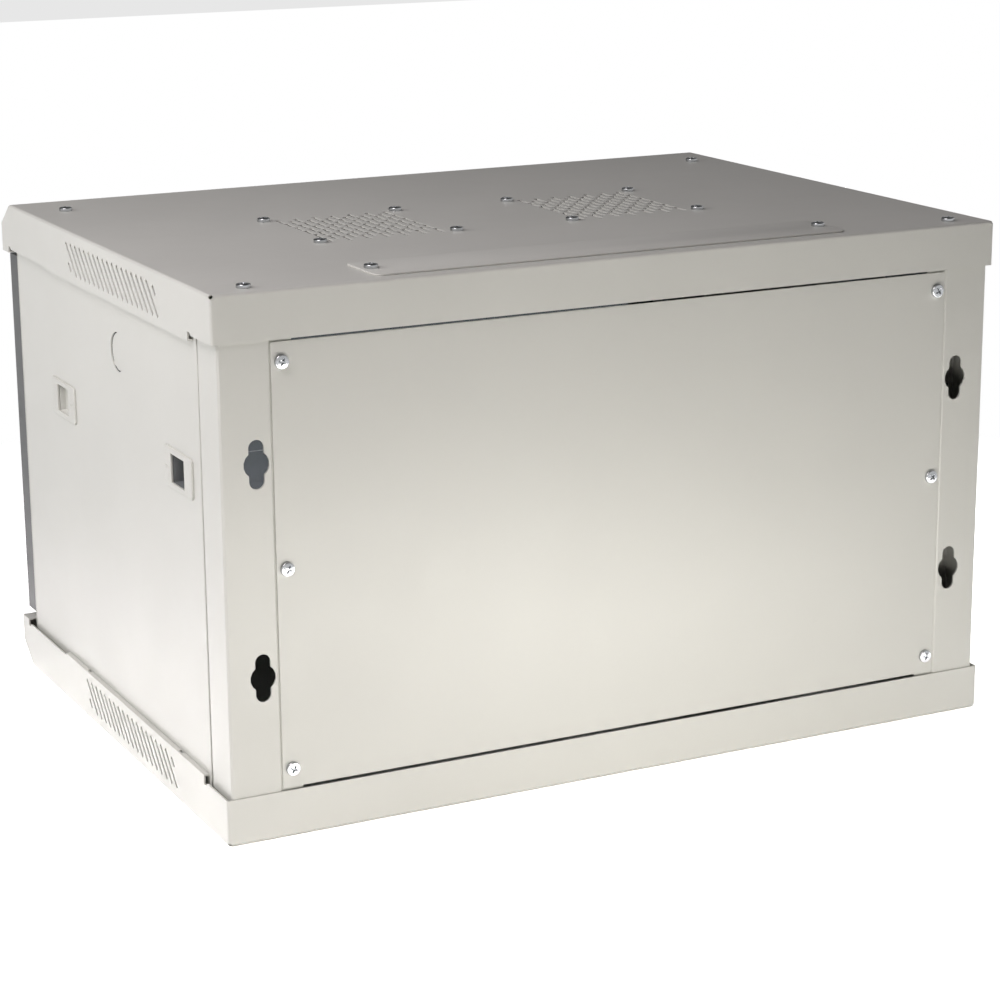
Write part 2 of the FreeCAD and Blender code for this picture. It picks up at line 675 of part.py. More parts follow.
def front_post(side):
    """Front post: a channel open to the side panel.  The lock's side has a cut-out."""
    inner = SIDE_X - FRONT_POST_WIDTH
    outer = SIDE_X - SIDE_SHEET - FIT
    path = [(SIDE_X, FRONT_FLANGE), (inner, FRONT_FLANGE),
            (inner, FRONT_POST_REAR), (outer, FRONT_POST_REAR)]
    post = folded(path, -POST_SHEET, POST_BOTTOM, POST_TOP)
    parts = [post]
    for low in (POST_BOTTOM, POST_TOP - POST_SHEET):
        parts.append(box((inner + POST_SHEET, FRAME_Y[1] - SIDE_TAB, low),
                         (outer, FRONT_POST_REAR - POST_SHEET, low + POST_SHEET)))
    parts.append(panel_ledge(FRONT_POST_REAR - POST_SHEET, FRONT_POST_REAR + SIDE_TAB))
    cutters = [tongue_slot(FRONT_POST_REAR)] + fold_notches()
    for z in BRACE_Z:
        cutters.append(screw_hole((brace_screw_x(), FRONT_POST_REAR, z), (0, 1, 0), THREAD_FIT))
    cutters += frame_holes(FRAME_Y[1])
    if side > 0:
        cutters.append(lock_cut(inner))
    return joined(parts).cut(cutters)


def fold_notches():
    """Cutters in a front post's rear flange for the upper and lower folds of the side panel."""
    start = SIDE_X - SIDE_SHEET - SIDE_FOLD - FIT
    cutters = []
    for low, high in ((PANEL_LOW, PANEL_LOW + SIDE_SHEET + FIT),
                      (PANEL_HIGH - SIDE_SHEET - FIT, PANEL_HIGH + FIT)):
        cutters.append(box((start, FRONT_POST_REAR - 2 * POST_SHEET, low),
                           (SIDE_X, FRONT_POST_REAR + POST_SHEET, high)))
    return cutters


def lock_cut(inner):
    """Cutter for the room in the front flange that the lock's barrel and cam need."""
    barrel = LOCK_BARREL / 2 + LOCK_ROOM
    return box((inner - 1, FRONT_FLANGE - POST_SHEET, LOCK_Z - barrel),
               (LOCK_X + barrel, FRONT_FLANGE + 3 * POST_SHEET, LOCK_Z + cam_length() + LOCK_ROOM))


# --- Braces, rails and back panel ---------------------------------------------------------------------

def brace_screw_x():
    """Middle of the overlap of a brace's front tab and the front post."""
    return BRACE_TAB_X - BRACE_FRONT_TAB / 2


def rail_screw_y():
    """Where the rails are screwed to the braces."""
    return DOOR_FACE + RAIL_SETBACK + RAIL_SCREW_BACK


def brace(z):
    """Brace on the +X side between the posts, slotted so that the rails can be moved."""
    rear = STEP_Y - POST_SHEET
    path = [(BRACE_TAB_X, FRONT_POST_REAR), (BRACE_X, FRONT_POST_REAR),
            (BRACE_X, rear), (STEP_X - BACK_SHEET - BRACE_REAR_EDGE, rear)]
    sheet = folded(path, -BRACE_SHEET, z - BRACE_HEIGHT / 2, z + BRACE_HEIGHT / 2)
    cutters = [screw_hole((brace_screw_x(), FRONT_POST_REAR + BRACE_SHEET, z), (0, 1, 0)),
               screw_hole((BACK_SCREW_X, rear, z), (0, 1, 0), THREAD_FIT)]
    for index in range(BRACE_SLOTS):
        y = rail_screw_y() + RAIL_RANGE * index / (BRACE_SLOTS - 1)
        points = slot_points(BRACE_SLOT_LENGTH, BRACE_SLOT_WIDTH)
        cutters.append(prism([(BRACE_X - 1, y + a, z + b) for a, b in points],
                             (BRACE_SHEET + 2, 0, 0)))
    return sheet.cut(cutters)


def rack_rail():
    """Nineteen inch rail on the +X side, with three square holes in each rack unit."""
    face = DOOR_FACE + RAIL_SETBACK
    hole_x = RACK_HALF + RAIL_HOLE_INSET
    path = [(RACK_HALF, face + RAIL_LIP), (RACK_HALF, face),
            (BRACE_X, face), (BRACE_X, face + RAIL_WEB)]
    low = END_SPACE - RAIL_EXTRA
    rail = folded(path, RAIL_SHEET, low, HEIGHT - low)
    half = RAIL_SQUARE / 2
    cutters = []
    for unit in range(RACK_UNITS):
        for step in RAIL_HOLE_STEPS:
            z = END_SPACE + unit * RACK_UNIT + step
            cutters.append(box((hole_x - half, face - 2 * RAIL_SHEET, z - half),
                               (hole_x + half, face + 2 * RAIL_SHEET, z + half)))
    for z in BRACE_Z:
        cutters.append(screw_hole((BRACE_X, rail_screw_y(), z), (1, 0, 0), THREAD_FIT))
    return rail.cut(cutters)


def back_panel():
    panel = box((-BACK_EDGE, STEP_Y, BACK_LOW), (BACK_EDGE, POST_REAR, HEIGHT - BACK_LOW))
    cutters = []
    for z in BACK_SCREW_Z:
        for side in (-1, 1):
            cutters.append(screw_hole((side * BACK_SCREW_X, POST_REAR, z), (0, 1, 0)))
    return panel.cut(cutters)


# --- Side panels and latches -----------------------------------------------------------------------------

def knockout():
    """Cutter for the ring, left with two bridges, that opens a hole for a side lock."""
    y, z = KNOCKOUT_FROM_CENTRE, HEIGHT - KNOCKOUT_BELOW_TOP
    start, end = SIDE_X - 3 * SIDE_SHEET, SIDE_X + 1
    outer = rod((KNOCKOUT + KNOCKOUT_CUT) / 2, (start, y, z), (end, y, z))
    inner = rod((KNOCKOUT - KNOCKOUT_CUT) / 2, (start, y, z), (end, y, z))
    half = math.radians(KNOCKOUT_BRIDGE / 2) * KNOCKOUT / 2
    bridge = box((start, y - KNOCKOUT, z - half), (end, y + KNOCKOUT, z + half))
    bridge.rotate(vec(0, y, z), vec(1, 0, 0), -45)
    return outer.cut([inner, bridge])


def side_panel():
    """Lift-off side panel on the +X side: a shallow tray with its edges folded in."""
    outer = bent_box((SIDE_X - SIDE_SHEET - SIDE_FOLD, PANEL_FRONT, PANEL_LOW),
                     (SIDE_X, PANEL_REAR, PANEL_HIGH), BEND, 0, SIDE_X)
    inner = box((SIDE_X - 2 * SIDE_FOLD, PANEL_FRONT + SIDE_SHEET, PANEL_LOW + SIDE_SHEET),
                (SIDE_X - SIDE_SHEET, PANEL_REAR - SIDE_SHEET, PANEL_HIGH - SIDE_SHEET))
    cutters = [inner, knockout(), latch_opening()]
    cutters.append(mirror_latch(latch_opening()))
    return outer.cut(cutters)


def mirror_latch(shape):
    """The front latch's piece: the rear one, seen in a mirror half way between the posts."""
    return shape.mirror(vec(0, LATCH_MIRROR, 0), vec(0, 1, 0))


def latch_travel():
    """How far the tongue draws back to clear its flange."""
    return LATCH_REACH + POST_SHEET + LATCH_FREE


def latch_room():
    """The space the slider needs inside the housing, as ((y, z), (y, z))."""
    end = LATCH_WINDOW_LENGTH / 2 + LATCH_WALL + FIT
    side = LATCH_WINDOW_HEIGHT / 2 + LATCH_WALL + FIT
    return (LATCH_Y - end - latch_travel(), LATCH_Z - side), (LATCH_Y + end, LATCH_Z + side)


def grown_room(grow, x_low, x_high):
    """The slider's space, grown all round, between two depths."""
    low, high = latch_room()
    return box((x_low, low[0] - grow, low[1] - grow), (x_high, high[0] + grow, high[1] + grow))


def latch_opening():
    """Cutter for the housing's hole in the side panel."""
    return grown_room(LATCH_WALL + FIT, SIDE_X - 3 * SIDE_SHEET, SIDE_X + 1)


def latch_housing():
    """Moulded frame of the rear latch: a bezel outside the panel, a box behind it."""
    half_y, half_z = LATCH_LENGTH / 2, LATCH_HEIGHT / 2
    face = SIDE_X + LATCH_PROUD
    bezel = box((SIDE_X, LATCH_Y - half_y, LATCH_Z - half_z),
                (face, LATCH_Y + half_y, LATCH_Z + half_z))

    def any_place(x, y, z):
        return True

    def on_face(x, y, z):
        return abs(x - face) < 1e-6

    bezel = bezel.makeChamfer(LATCH_CORNER, edges_along(bezel, 0, any_place))
    rim = [edge for edge in bezel.Edges if all(on_face(*v.Point) for v in edge.Vertexes)]
    bezel = bezel.makeChamfer(LATCH_PROUD / 3, rim)
    body = grown_room(LATCH_WALL, SIDE_X - LATCH_DEPTH, SIDE_X)
    room = grown_room(0, SIDE_X - LATCH_DEPTH + LATCH_WALL, SIDE_X)
    window_y, window_z = LATCH_WINDOW_LENGTH / 2, LATCH_WINDOW_HEIGHT / 2
    window = box((SIDE_X - 1, LATCH_Y - window_y, LATCH_Z - window_z),
                 (face + 1, LATCH_Y + window_y, LATCH_Z + window_z))
    low, high = latch_room()
    top = SIDE_X - tongue_top() + LATCH_FREE
    half = LATCH_TONGUE_HEIGHT / 2 + LATCH_FREE
    mouth = box((top - LATCH_TONGUE_THICK - 2 * LATCH_FREE, high[0] - 1, LATCH_Z - half),
                (top, high[0] + LATCH_WALL + 1, LATCH_Z + half))
    return joined([bezel, body]).cut([room, window, mouth])


def latch_slider():
    """Finger slide of the rear latch: a cup with a sloping floor, and its tongue."""
    end = LATCH_WINDOW_LENGTH / 2 + LATCH_WALL
    side = LATCH_WINDOW_HEIGHT / 2 + LATCH_WALL
    top = SIDE_X - FIT
    bottom = SIDE_X - LATCH_DEPTH + LATCH_WALL + FIT
    block = box((bottom, LATCH_Y - end, LATCH_Z - side), (top, LATCH_Y + end, LATCH_Z + side))
    half_y, half_z = LATCH_WINDOW_LENGTH / 2, LATCH_WINDOW_HEIGHT / 2
    corners = [(top + 1, LATCH_Y - half_y), (top + 1, LATCH_Y + half_y),
               (SIDE_X - LATCH_POCKET_SHALLOW, LATCH_Y + half_y),
               (SIDE_X - LATCH_POCKET_DEEP, LATCH_Y - half_y)]
    pocket = prism([(x, y, LATCH_Z - half_z) for x, y in corners], (0, 0, 2 * half_z))
    tip = POST_RETURN + POST_SHEET + LATCH_REACH
    tongue_high = SIDE_X - tongue_top()
    tongue = box((tongue_high - LATCH_TONGUE_THICK, LATCH_Y + end - LATCH_WALL,
                  LATCH_Z - LATCH_TONGUE_HEIGHT / 2),
                 (tongue_high, tip, LATCH_Z + LATCH_TONGUE_HEIGHT / 2))
    return joined([block.cut(pocket), tongue])


# --- Fans --------------------------------------------------------------------------------------------------

def fan_top():
    return HEIGHT - COVER_SHEET


def fan_bottom():
    return fan_top() - FAN_DEPTH


def fan_housing(x):
    """Square fan frame under the roof, with its bearing held on four arms."""
    y = FAN_FROM_CENTRE
    top, low = fan_top(), fan_bottom()
    half = FAN_SIZE / 2
    bearing = 2.5 * FAN_SHAFT
    frame = box((x - half, y - half, low), (x + half, y + half, top))
    frame = frame.cut(regular_prism(2 * TURNED_SIDES, FAN_RING, (x, y, low - 1),
                                    (0, 0, FAN_DEPTH + 2)))
    parts = [frame, regular_prism(TURNED_SIDES, FAN_HUB, (x, y, low), (0, 0, FAN_ARM)),
             regular_prism(TURNED_SIDES, bearing, (x, y, low), (0, 0, 2 * FAN_DEPTH / 3))]
    reach = FAN_RING / 2 + 1
    wide = FAN_ARM / 2
    parts.append(box((x - reach, y - wide, low), (x + reach, y + wide, low + FAN_ARM)))
    parts.append(box((x - wide, y - reach, low), (x + wide, y + reach, low + FAN_ARM)))
    cutters = [rod(FAN_SHAFT / 2 + HINGE_RUN, (x, y, low + FAN_ARM / 2), (x, y, top))]
    for dx in (-FAN_HOLES / 2, FAN_HOLES / 2):
        for dy in (-FAN_HOLES / 2, FAN_HOLES / 2):
            cutters.append(regular_prism(SHANK_SIDES, SCREW + 2 * THREAD_FIT,
                                         (x + dx, y + dy, low - 1), (0, 0, FAN_DEPTH + 2)))
    return joined(parts).cut(cutters)


def blade_section(radius, chord, pitch, z):
    """A blade's outline at one radius, square to the X axis."""
    turn = math.radians(pitch)
    corners = []
    for a, b in ((-1, -1), (1, -1), (1, 1), (-1, 1)):
        along, up = a * chord / 2, b * BLADE_SHEET / 2
        corners.append((radius, along * math.cos(turn) - up * math.sin(turn),
                        z + along * math.sin(turn) + up * math.cos(turn)))
    return corners


def fan_rotor(x):
    """Hub, shaft and twisted blades, turning on the bearing of the housing."""
    top, low = fan_top(), fan_bottom()
    cup_top, cup_low = top - FAN_END_GAP, low + FAN_ARM + FAN_END_GAP
    cup = regular_prism(TURNED_SIDES, FAN_HUB, (0, 0, cup_low), (0, 0, cup_top - cup_low))
    hollow = regular_prism(TURNED_SIDES, FAN_HUB - 2 * FAN_CUP_WALL, (0, 0, low),
                           (0, 0, cup_top - FAN_CUP_WALL - low))
    parts = [cup.cut(hollow),
             rod(FAN_SHAFT / 2, (0, 0, low + FAN_ARM), (0, 0, cup_top - FAN_CUP_WALL))]
    middle = (cup_low + cup_top) / 2
    reach = FAN_RING / 2 - FAN_TIP_GAP
    tip = math.sqrt(reach ** 2 - (BLADE_TIP_CHORD / 2) ** 2)
    for index in range(FAN_BLADES):
        blade = bridged(blade_section(FAN_HUB / 2 - FAN_CUP_WALL, BLADE_ROOT_CHORD,
                                      BLADE_ROOT_PITCH, middle),
                        blade_section(tip, BLADE_TIP_CHORD, BLADE_TIP_PITCH, middle))
        blade.rotate(vec(0, 0, 0), vec(0, 0, 1), 360.0 * index / FAN_BLADES)
        parts.append(blade)
    rotor = joined(parts)
    rotor.translate(vec(x, FAN_FROM_CENTRE, 0))
    return rotor


# --- Door ----------------------------------------------------------------------------------------------------

def window_size():
    """Half width, low and high of the opening in the door frame."""
    return DOOR_X - DOOR_STILE, DOOR_LOW + DOOR_STILE, DOOR_HIGH - DOOR_STILE


def door_frame():
    """Folded steel frame, with its edges turned back and in."""
    outer = bent_box((-DOOR_X, DOOR_FRONT, DOOR_LOW), (DOOR_X, DOOR_REAR, DOOR_HIGH),
                     DOOR_CORNER, 1, DOOR_FRONT)
    t = DOOR_SHEET
    inner = box((-DOOR_X + t, DOOR_FRONT + t, DOOR_LOW + t),
                (DOOR_X - t, DOOR_REAR - t, DOOR_HIGH - t))
    behind = box((-DOOR_X + DOOR_LIP, DOOR_REAR - 2 * t, DOOR_LOW + DOOR_LIP),
                 (DOOR_X - DOOR_LIP, DOOR_REAR + 1, DOOR_HIGH - DOOR_LIP))
    half, low, high = window_size()
    window = box((-half, DOOR_FRONT - 1, low), (half, DOOR_FRONT + 2 * t, high))
    pins = regular_prism(TURNED_SIDES, HINGE_PIN + 2 * THREAD_FIT,
                         (HINGE_X, HINGE_Y, DOOR_LOW - 1), (0, 0, DOOR_HIGH - DOOR_LOW + 2))
    barrel = regular_prism(TURNED_SIDES, LOCK_BARREL + 2 * THREAD_FIT,
                           (LOCK_X, DOOR_FRONT - 1, LOCK_Z), (0, 3 * t, 0))
    return outer.cut([inner, behind, window, pins, barrel])


def pane(lap, start, thick):
    """A sheet behind the door's opening that laps over its edge."""
    half, low, high = window_size()
    return box((-half - lap, start, low - lap), (half + lap, start + thick, high + lap))


def door_seal():
    """Foam seal between the frame and the glass."""
    start = DOOR_FRONT + DOOR_SHEET
    hole = pane(FIT, start - 1, SEAL + 2)
    return pane(GLASS_LAP, start, SEAL).cut(hole)


def door_glass():
    return pane(GLASS_LAP, DOOR_FRONT + DOOR_SHEET + SEAL, GLASS)


def glass_clips():
    """Folded clips along the upper and lower edges of the glass."""
    half, low, high = window_size()
    seat = DOOR_FRONT + DOOR_SHEET
    back = seat + SEAL + GLASS
    t = DOOR_SHEET
    edge = low - GLASS_LAP
    foot = edge - FIT - t
    outline = [(seat, foot - CLIP_WIDTH), (seat, foot + t), (back, foot + t),
               (back, edge + GLASS_LAP / 2), (back + t, edge + GLASS_LAP / 2),
               (back + t, foot), (seat + t, foot), (seat + t, foot - CLIP_WIDTH)]
    clips = []
    for index in range(GLASS_CLIPS):
        x = half * (2 * (index + 0.5) / GLASS_CLIPS - 1)
        clip = prism([(x - CLIP_WIDTH / 2, y, z) for y, z in outline], (CLIP_WIDTH, 0, 0))
        clips.append(clip)
        clips.append(clip.mirror(vec(0, 0, (low + high) / 2), vec(0, 0, 1)))
    return group(clips)


def hinge_bush(edge, way):
    """Nylon bush in a lip, with a flange that spaces the door.  It points along way."""
    gap = (DOOR_BELOW if way > 0 else DOOR_ABOVE) - FIT
    start, inside = (HINGE_X, HINGE_Y, edge), 2 * COVER_SHEET
    bush = joined([regular_prism(TURNED_SIDES, HINGE_BUSH_FLANGE, start, (0, 0, way * gap)),
                   regular_prism(TURNED_SIDES, HINGE_BUSH_BODY, start, (0, 0, -way * inside))])
    return bush.cut(rod(HINGE_PIN / 2 + HINGE_RUN, (HINGE_X, HINGE_Y, edge - way * 2 * inside),
                        (HINGE_X, HINGE_Y, edge + way * 2 * gap)))


def hinge_pin(lip, edge, way):
    """Pin from the bush in a lip, through an edge of the door, to the bracket inside it."""
    start = lip - way * 3 * COVER_SHEET
    end = edge + way * (HINGE_BRACKET_RISE + DOOR_SHEET + HINGE_PIN / 2)
    return rod(HINGE_PIN / 2, (HINGE_X, HINGE_Y, start), (HINGE_X, HINGE_Y, end))


def hinge_bracket(edge, way):
    """Angle welded inside the door's edge that holds the pin."""
    wall = -DOOR_X + DOOR_SHEET
    near = edge + way * HINGE_BRACKET_RISE
    t = DOOR_SHEET
    z_low, z_high = sorted((near, near + way * t))
    plate = box((wall, DOOR_FRONT + t, z_low),
                (HINGE_X + HINGE_PIN, DOOR_REAR - t - FIT, z_high))
    z_low, z_high = sorted((near, near + way * HINGE_BRACKET_RISE))
    leg = box((wall, DOOR_FRONT + t, z_low), (wall + t, DOOR_REAR - t - FIT, z_high))
    hole = regular_prism(TURNED_SIDES, HINGE_PIN + 2 * THREAD_FIT,
                         (HINGE_X, HINGE_Y, near - 3 * t), (0, 0, 6 * t))
    return joined([plate, leg]).cut(hole)


# --- Lock --------------------------------------------------------------------------------------------------------

def cam_length():
    """Reach of the lock's cam: its corners swing past just short of the side panel's fold."""
    room = SIDE_X - SIDE_SHEET - SIDE_FOLD - FIT - LOCK_X
    return math.sqrt(room ** 2 - (LOCK_CAM_WIDTH / 2) ** 2)


def lock_barrel():
    """Lock body with its round head on the front of the door."""
    head = regular_prism(2 * TURNED_SIDES, LOCK_HEAD, (LOCK_X, DOOR_FACE, LOCK_Z),
                         (0, DOOR_RECESS, 0))
    body = regular_prism(TURNED_SIDES, LOCK_BARREL, (LOCK_X, DOOR_FRONT, LOCK_Z),
                         (0, CAM_FRONT - FIT - DOOR_FRONT, 0))
    bore = rod(LOCK_PLUG / 2 + HINGE_RUN, (LOCK_X, DOOR_FACE - 1, LOCK_Z),
               (LOCK_X, CAM_FRONT, LOCK_Z))
    return joined([head, body]).cut(bore)


def lock_nut():
    nut = regular_prism(6, LOCK_NUT, (LOCK_X, DOOR_FRONT + DOOR_SHEET, LOCK_Z),
                        (0, LOCK_NUT_THICK, 0))
    hole = regular_prism(TURNED_SIDES, LOCK_BARREL + 2 * THREAD_FIT,
                         (LOCK_X, DOOR_FRONT, LOCK_Z), (0, 2 * LOCK_NUT, 0))
    return nut.cut(hole)


def lock_plug():
    """Key cylinder, with its keyway."""
    plug = rod(LOCK_PLUG / 2, (LOCK_X, DOOR_FACE, LOCK_Z), (LOCK_X, CAM_FRONT, LOCK_Z))
    keyway = box((LOCK_X - 0.8, DOOR_FACE - 1, LOCK_Z - LOCK_PLUG / 3),
                 (LOCK_X + 0.8, DOOR_FACE + LOCK_PLUG, LOCK_Z + LOCK_PLUG / 3))
    return plug.cut(keyway)


def lock_cam():
    """Cam plate, drawn unlocked: it points up and swings towards the side panel."""
    half = LOCK_CAM_WIDTH / 2
    plate = box((LOCK_X - half, CAM_FRONT, LOCK_Z),
                (LOCK_X + half, CAM_FRONT + LOCK_CAM_THICK, LOCK_Z + cam_length()))
    round_end = regular_prism(TURNED_SIDES, LOCK_CAM_WIDTH, (LOCK_X, CAM_FRONT, LOCK_Z),
                              (0, LOCK_CAM_THICK, 0))
    return joined([plate, round_end])


def lock_cam_screw():
    """Screw that holds the cam on the plug."""
    return regular_prism(HEAD_SIDES, SCREW_HEAD, (LOCK_X, CAM_FRONT + LOCK_CAM_THICK, LOCK_Z),
                         (0, SCREW_HEAD_HEIGHT, 0))


# --- Plates and screws ----------------------------------------------------------------------------------------------

def entry_plate(low):
    """Cover plate of a cable entry, with rounded corners."""
    half = ENTRY_COVER_WIDTH / 2
    y_low = entry_y() - ENTRY_COVER_DEPTH / 2
    plate = box((-half, y_low, low), (half, y_low + ENTRY_COVER_DEPTH, low + COVER_SHEET))

    def any_place(x, y, z):
        return True

    plate = plate.makeFillet(ENTRY_CORNER, edges_along(plate, 2, any_place))
    cutters = []
    for side in (-1, 1):
        cutters.append(screw_hole((side * entry_screw_x(), entry_y(), low + COVER_SHEET),
                                  (0, 0, 1)))
    return plate.cut(cutters)


def entry_screws(seat, length):
    return group([pan_screw((side * entry_screw_x(), entry_y(), seat), (0, 0, 1), length)
                  for side in (-1, 1)])


def roof_corner_screws():
    length = COVER_SHEET + POST_SHEET + 4.0
    return group([pan_screw((x, y, HEIGHT), (0, 0, 1), length) for x, y in frame_seats()])


def floor_corner_screws():
    return group([flush_screw(x, y, 0) for x, y in frame_seats()])


def fan_screws():
    return group([pan_screw((x, y, HEIGHT), (0, 0, 1), FAN_SCREW_LENGTH) for x, y in fan_seats()])


def back_panel_screws():
    length = BACK_SHEET + POST_SHEET + BRACE_SHEET + 3.0
    return group([pan_screw((side * BACK_SCREW_X, POST_REAR, z), (0, 1, 0), length)
                  for z in BACK_SCREW_Z for side in (-1, 1)])


def brace_screws():
    length = BRACE_SHEET + POST_SHEET + 3.0
    return group([pan_screw((side * brace_screw_x(), FRONT_POST_REAR + BRACE_SHEET, z),
                            (0, 1, 0), length) for z in BRACE_Z for side in (-1, 1)])


def rail_screws():
    seats = [(BRACE_X + BRACE_SHEET, rail_screw_y(), z) for z in BRACE_Z]
    screws = [pan_screw(seat, (1, 0, 0), BRACE_SHEET + RAIL_SHEET + 1.0) for seat in seats]
    return group(screws + [mirror_x(screw) for screw in screws])


# --- The whole cabinet ------------------------------------------------------------------------------------------------

def cabinet():
    """Every piece by its name.  left is -X and right is +X."""
    lip_low, lip_high = FRONT_SKIRT, HEIGHT - FRONT_SKIRT
    pieces = {
        "top_cover": top_cover(),
        "bottom_cover": bottom_cover(),
        "back_panel": back_panel(),
        "rear_post_right": rear_post(),
        "front_post_right": front_post(1),
        "front_post_left": mirror_x(front_post(-1)),
        "entry_plate_top": entry_plate(HEIGHT),
        "entry_plate_bottom": entry_plate(COVER_SHEET),
        "door_frame": door_frame(),
        "door_seal": door_seal(),
        "door_glass": door_glass(),
        "door_glass_clips": glass_clips(),
        "hinge_bushes": group([hinge_bush(lip_low, 1), hinge_bush(lip_high, -1)]),
        "hinge_pins": group([hinge_pin(lip_low, DOOR_LOW, 1),
                             hinge_pin(lip_high, DOOR_HIGH, -1)]),
        "hinge_brackets": group([hinge_bracket(DOOR_LOW, 1), hinge_bracket(DOOR_HIGH, -1)]),
        "lock_barrel": lock_barrel(),
        "lock_nut": lock_nut(),
        "lock_plug": lock_plug(),
        "lock_cam": lock_cam(),
        "lock_cam_screw": lock_cam_screw(),
        "roof_corner_screws": roof_corner_screws(),
        "floor_corner_screws": floor_corner_screws(),
        "fan_screws": fan_screws(),
        "entry_screws_top": entry_screws(HEIGHT + COVER_SHEET, 2 * COVER_SHEET + 3.0),
        "entry_screws_bottom": entry_screws(2 * COVER_SHEET, 2 * COVER_SHEET),
        "back_panel_screws": back_panel_screws(),
        "brace_screws": brace_screws(),
        "rail_screws": rail_screws(),
    }
    pieces["rear_post_left"] = mirror_x(pieces["rear_post_right"])
    for level, z in zip(("lower", "upper"), BRACE_Z):
        right = brace(z)
        pieces["brace_" + level + "_right"] = right
        pieces["brace_" + level + "_left"] = mirror_x(right)
    pieces["rack_rail_right"] = rack_rail()
    pieces["rack_rail_left"] = mirror_x(pieces["rack_rail_right"])
    for name, x in zip(("left", "right"), FAN_CENTRES):
        pieces["fan_housing_" + name] = fan_housing(x)
        pieces["fan_rotor_" + name] = fan_rotor(x)
    pieces["side_panel_right"] = side_panel()
    pieces["side_panel_left"] = mirror_x(pieces["side_panel_right"])
    for kind, rear in (("housing", latch_housing()), ("slider", latch_slider())):
        front = mirror_latch(rear)
        pieces["latch_" + kind + "_rear_right"] = rear
        pieces["latch_" + kind + "_front_right"] = front
        pieces["latch_" + kind + "_rear_left"] = mirror_x(rear)
        pieces["latch_" + kind + "_front_left"] = mirror_x(front)
    return pieces


os.makedirs("parts", exist_ok=True)
for name, shape in cabinet().items():
    shape.exportStep("parts/" + name + ".step")
    print(name, len(shape.Solids), "solid(s), valid", shape.isValid(),
          round(shape.Volume / 1000, 2), "cm3")
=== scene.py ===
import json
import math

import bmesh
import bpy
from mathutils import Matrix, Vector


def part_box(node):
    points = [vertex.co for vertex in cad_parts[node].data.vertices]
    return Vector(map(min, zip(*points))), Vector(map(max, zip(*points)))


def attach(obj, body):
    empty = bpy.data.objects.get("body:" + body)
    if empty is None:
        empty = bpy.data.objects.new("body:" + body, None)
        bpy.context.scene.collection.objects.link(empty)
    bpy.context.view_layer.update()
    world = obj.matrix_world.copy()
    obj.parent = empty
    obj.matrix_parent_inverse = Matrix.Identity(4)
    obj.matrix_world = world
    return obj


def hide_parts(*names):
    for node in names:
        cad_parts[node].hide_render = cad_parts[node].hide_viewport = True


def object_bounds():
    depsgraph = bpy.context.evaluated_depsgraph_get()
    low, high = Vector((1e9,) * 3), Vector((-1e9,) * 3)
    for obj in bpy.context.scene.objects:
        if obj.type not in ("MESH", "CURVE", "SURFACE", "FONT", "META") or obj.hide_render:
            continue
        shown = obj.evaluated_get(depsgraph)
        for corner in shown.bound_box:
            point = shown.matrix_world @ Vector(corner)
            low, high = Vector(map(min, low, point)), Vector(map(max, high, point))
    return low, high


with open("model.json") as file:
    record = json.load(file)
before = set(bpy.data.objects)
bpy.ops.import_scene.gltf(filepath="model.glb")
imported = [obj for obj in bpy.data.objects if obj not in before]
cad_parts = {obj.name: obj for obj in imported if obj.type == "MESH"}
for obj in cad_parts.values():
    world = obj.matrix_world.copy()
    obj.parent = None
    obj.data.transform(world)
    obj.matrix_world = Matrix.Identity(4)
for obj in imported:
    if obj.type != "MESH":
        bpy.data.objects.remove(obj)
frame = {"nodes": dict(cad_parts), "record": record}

# %% [markdown]
# # A wall mount network cabinet
#
# The cabinet is folded sheet steel with a light grey powder coat, bright zinc screws, moulded
# latches, a glass door and two fans under slotted grilles.  The sheet parts come from the CAD
# frame.  This lesson gives them their finishes, and swaps the small parts, whose detail the
# CAD leaves out, for finer ones.

MM = 0.001
MERGE = 1e-6                   # corners closer than this, in metres, are one corner
frame_low, frame_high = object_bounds()
print("frame in mm:", [round((b - a) / MM, 1) for a, b in zip(frame_low, frame_high)])

# %% [markdown]
# ## Colours and nodes
#
# Paint makers and screens give colours as sRGB hex values, but a shader wants linear light, so
# one function turns the first into the second.  A second small function adds a shader node,
# sets its values and joins its inputs, which keeps every material below short enough to read.

# %% Helpers for colours and nodes


def linear(hex_colour):
    """An sRGB hex colour as linear red, green, blue and alpha."""
    parts = [int(hex_colour[i:i + 2], 16) / 255 for i in (1, 3, 5)]
    return [c / 12.92 if c <= 0.04045 else ((c + 0.055) / 1.055) ** 2.4 for c in parts] + [1.0]


def node(tree, kind, values=(), links=(), **settings):
    """Adds a node, with settings, socket values and links given by socket name or number."""
    made = tree.nodes.new(kind)
    for name, value in settings.items():
        setattr(made, name, value)
    for name, value in dict(values).items():
        made.inputs[name].default_value = value
    for name, source in dict(links).items():
        tree.links.new(source, made.inputs[name])
    return made


def surface(name):
    """A new material with an empty tree, its shader and its output."""
    material = bpy.data.materials.new(name)
    material.use_nodes = True
    tree = material.node_tree
    tree.nodes.clear()
    shader = node(tree, "ShaderNodeBsdfPrincipled")
    node(tree, "ShaderNodeOutputMaterial", links={"Surface": shader.outputs[0]})
    return material, tree, shader


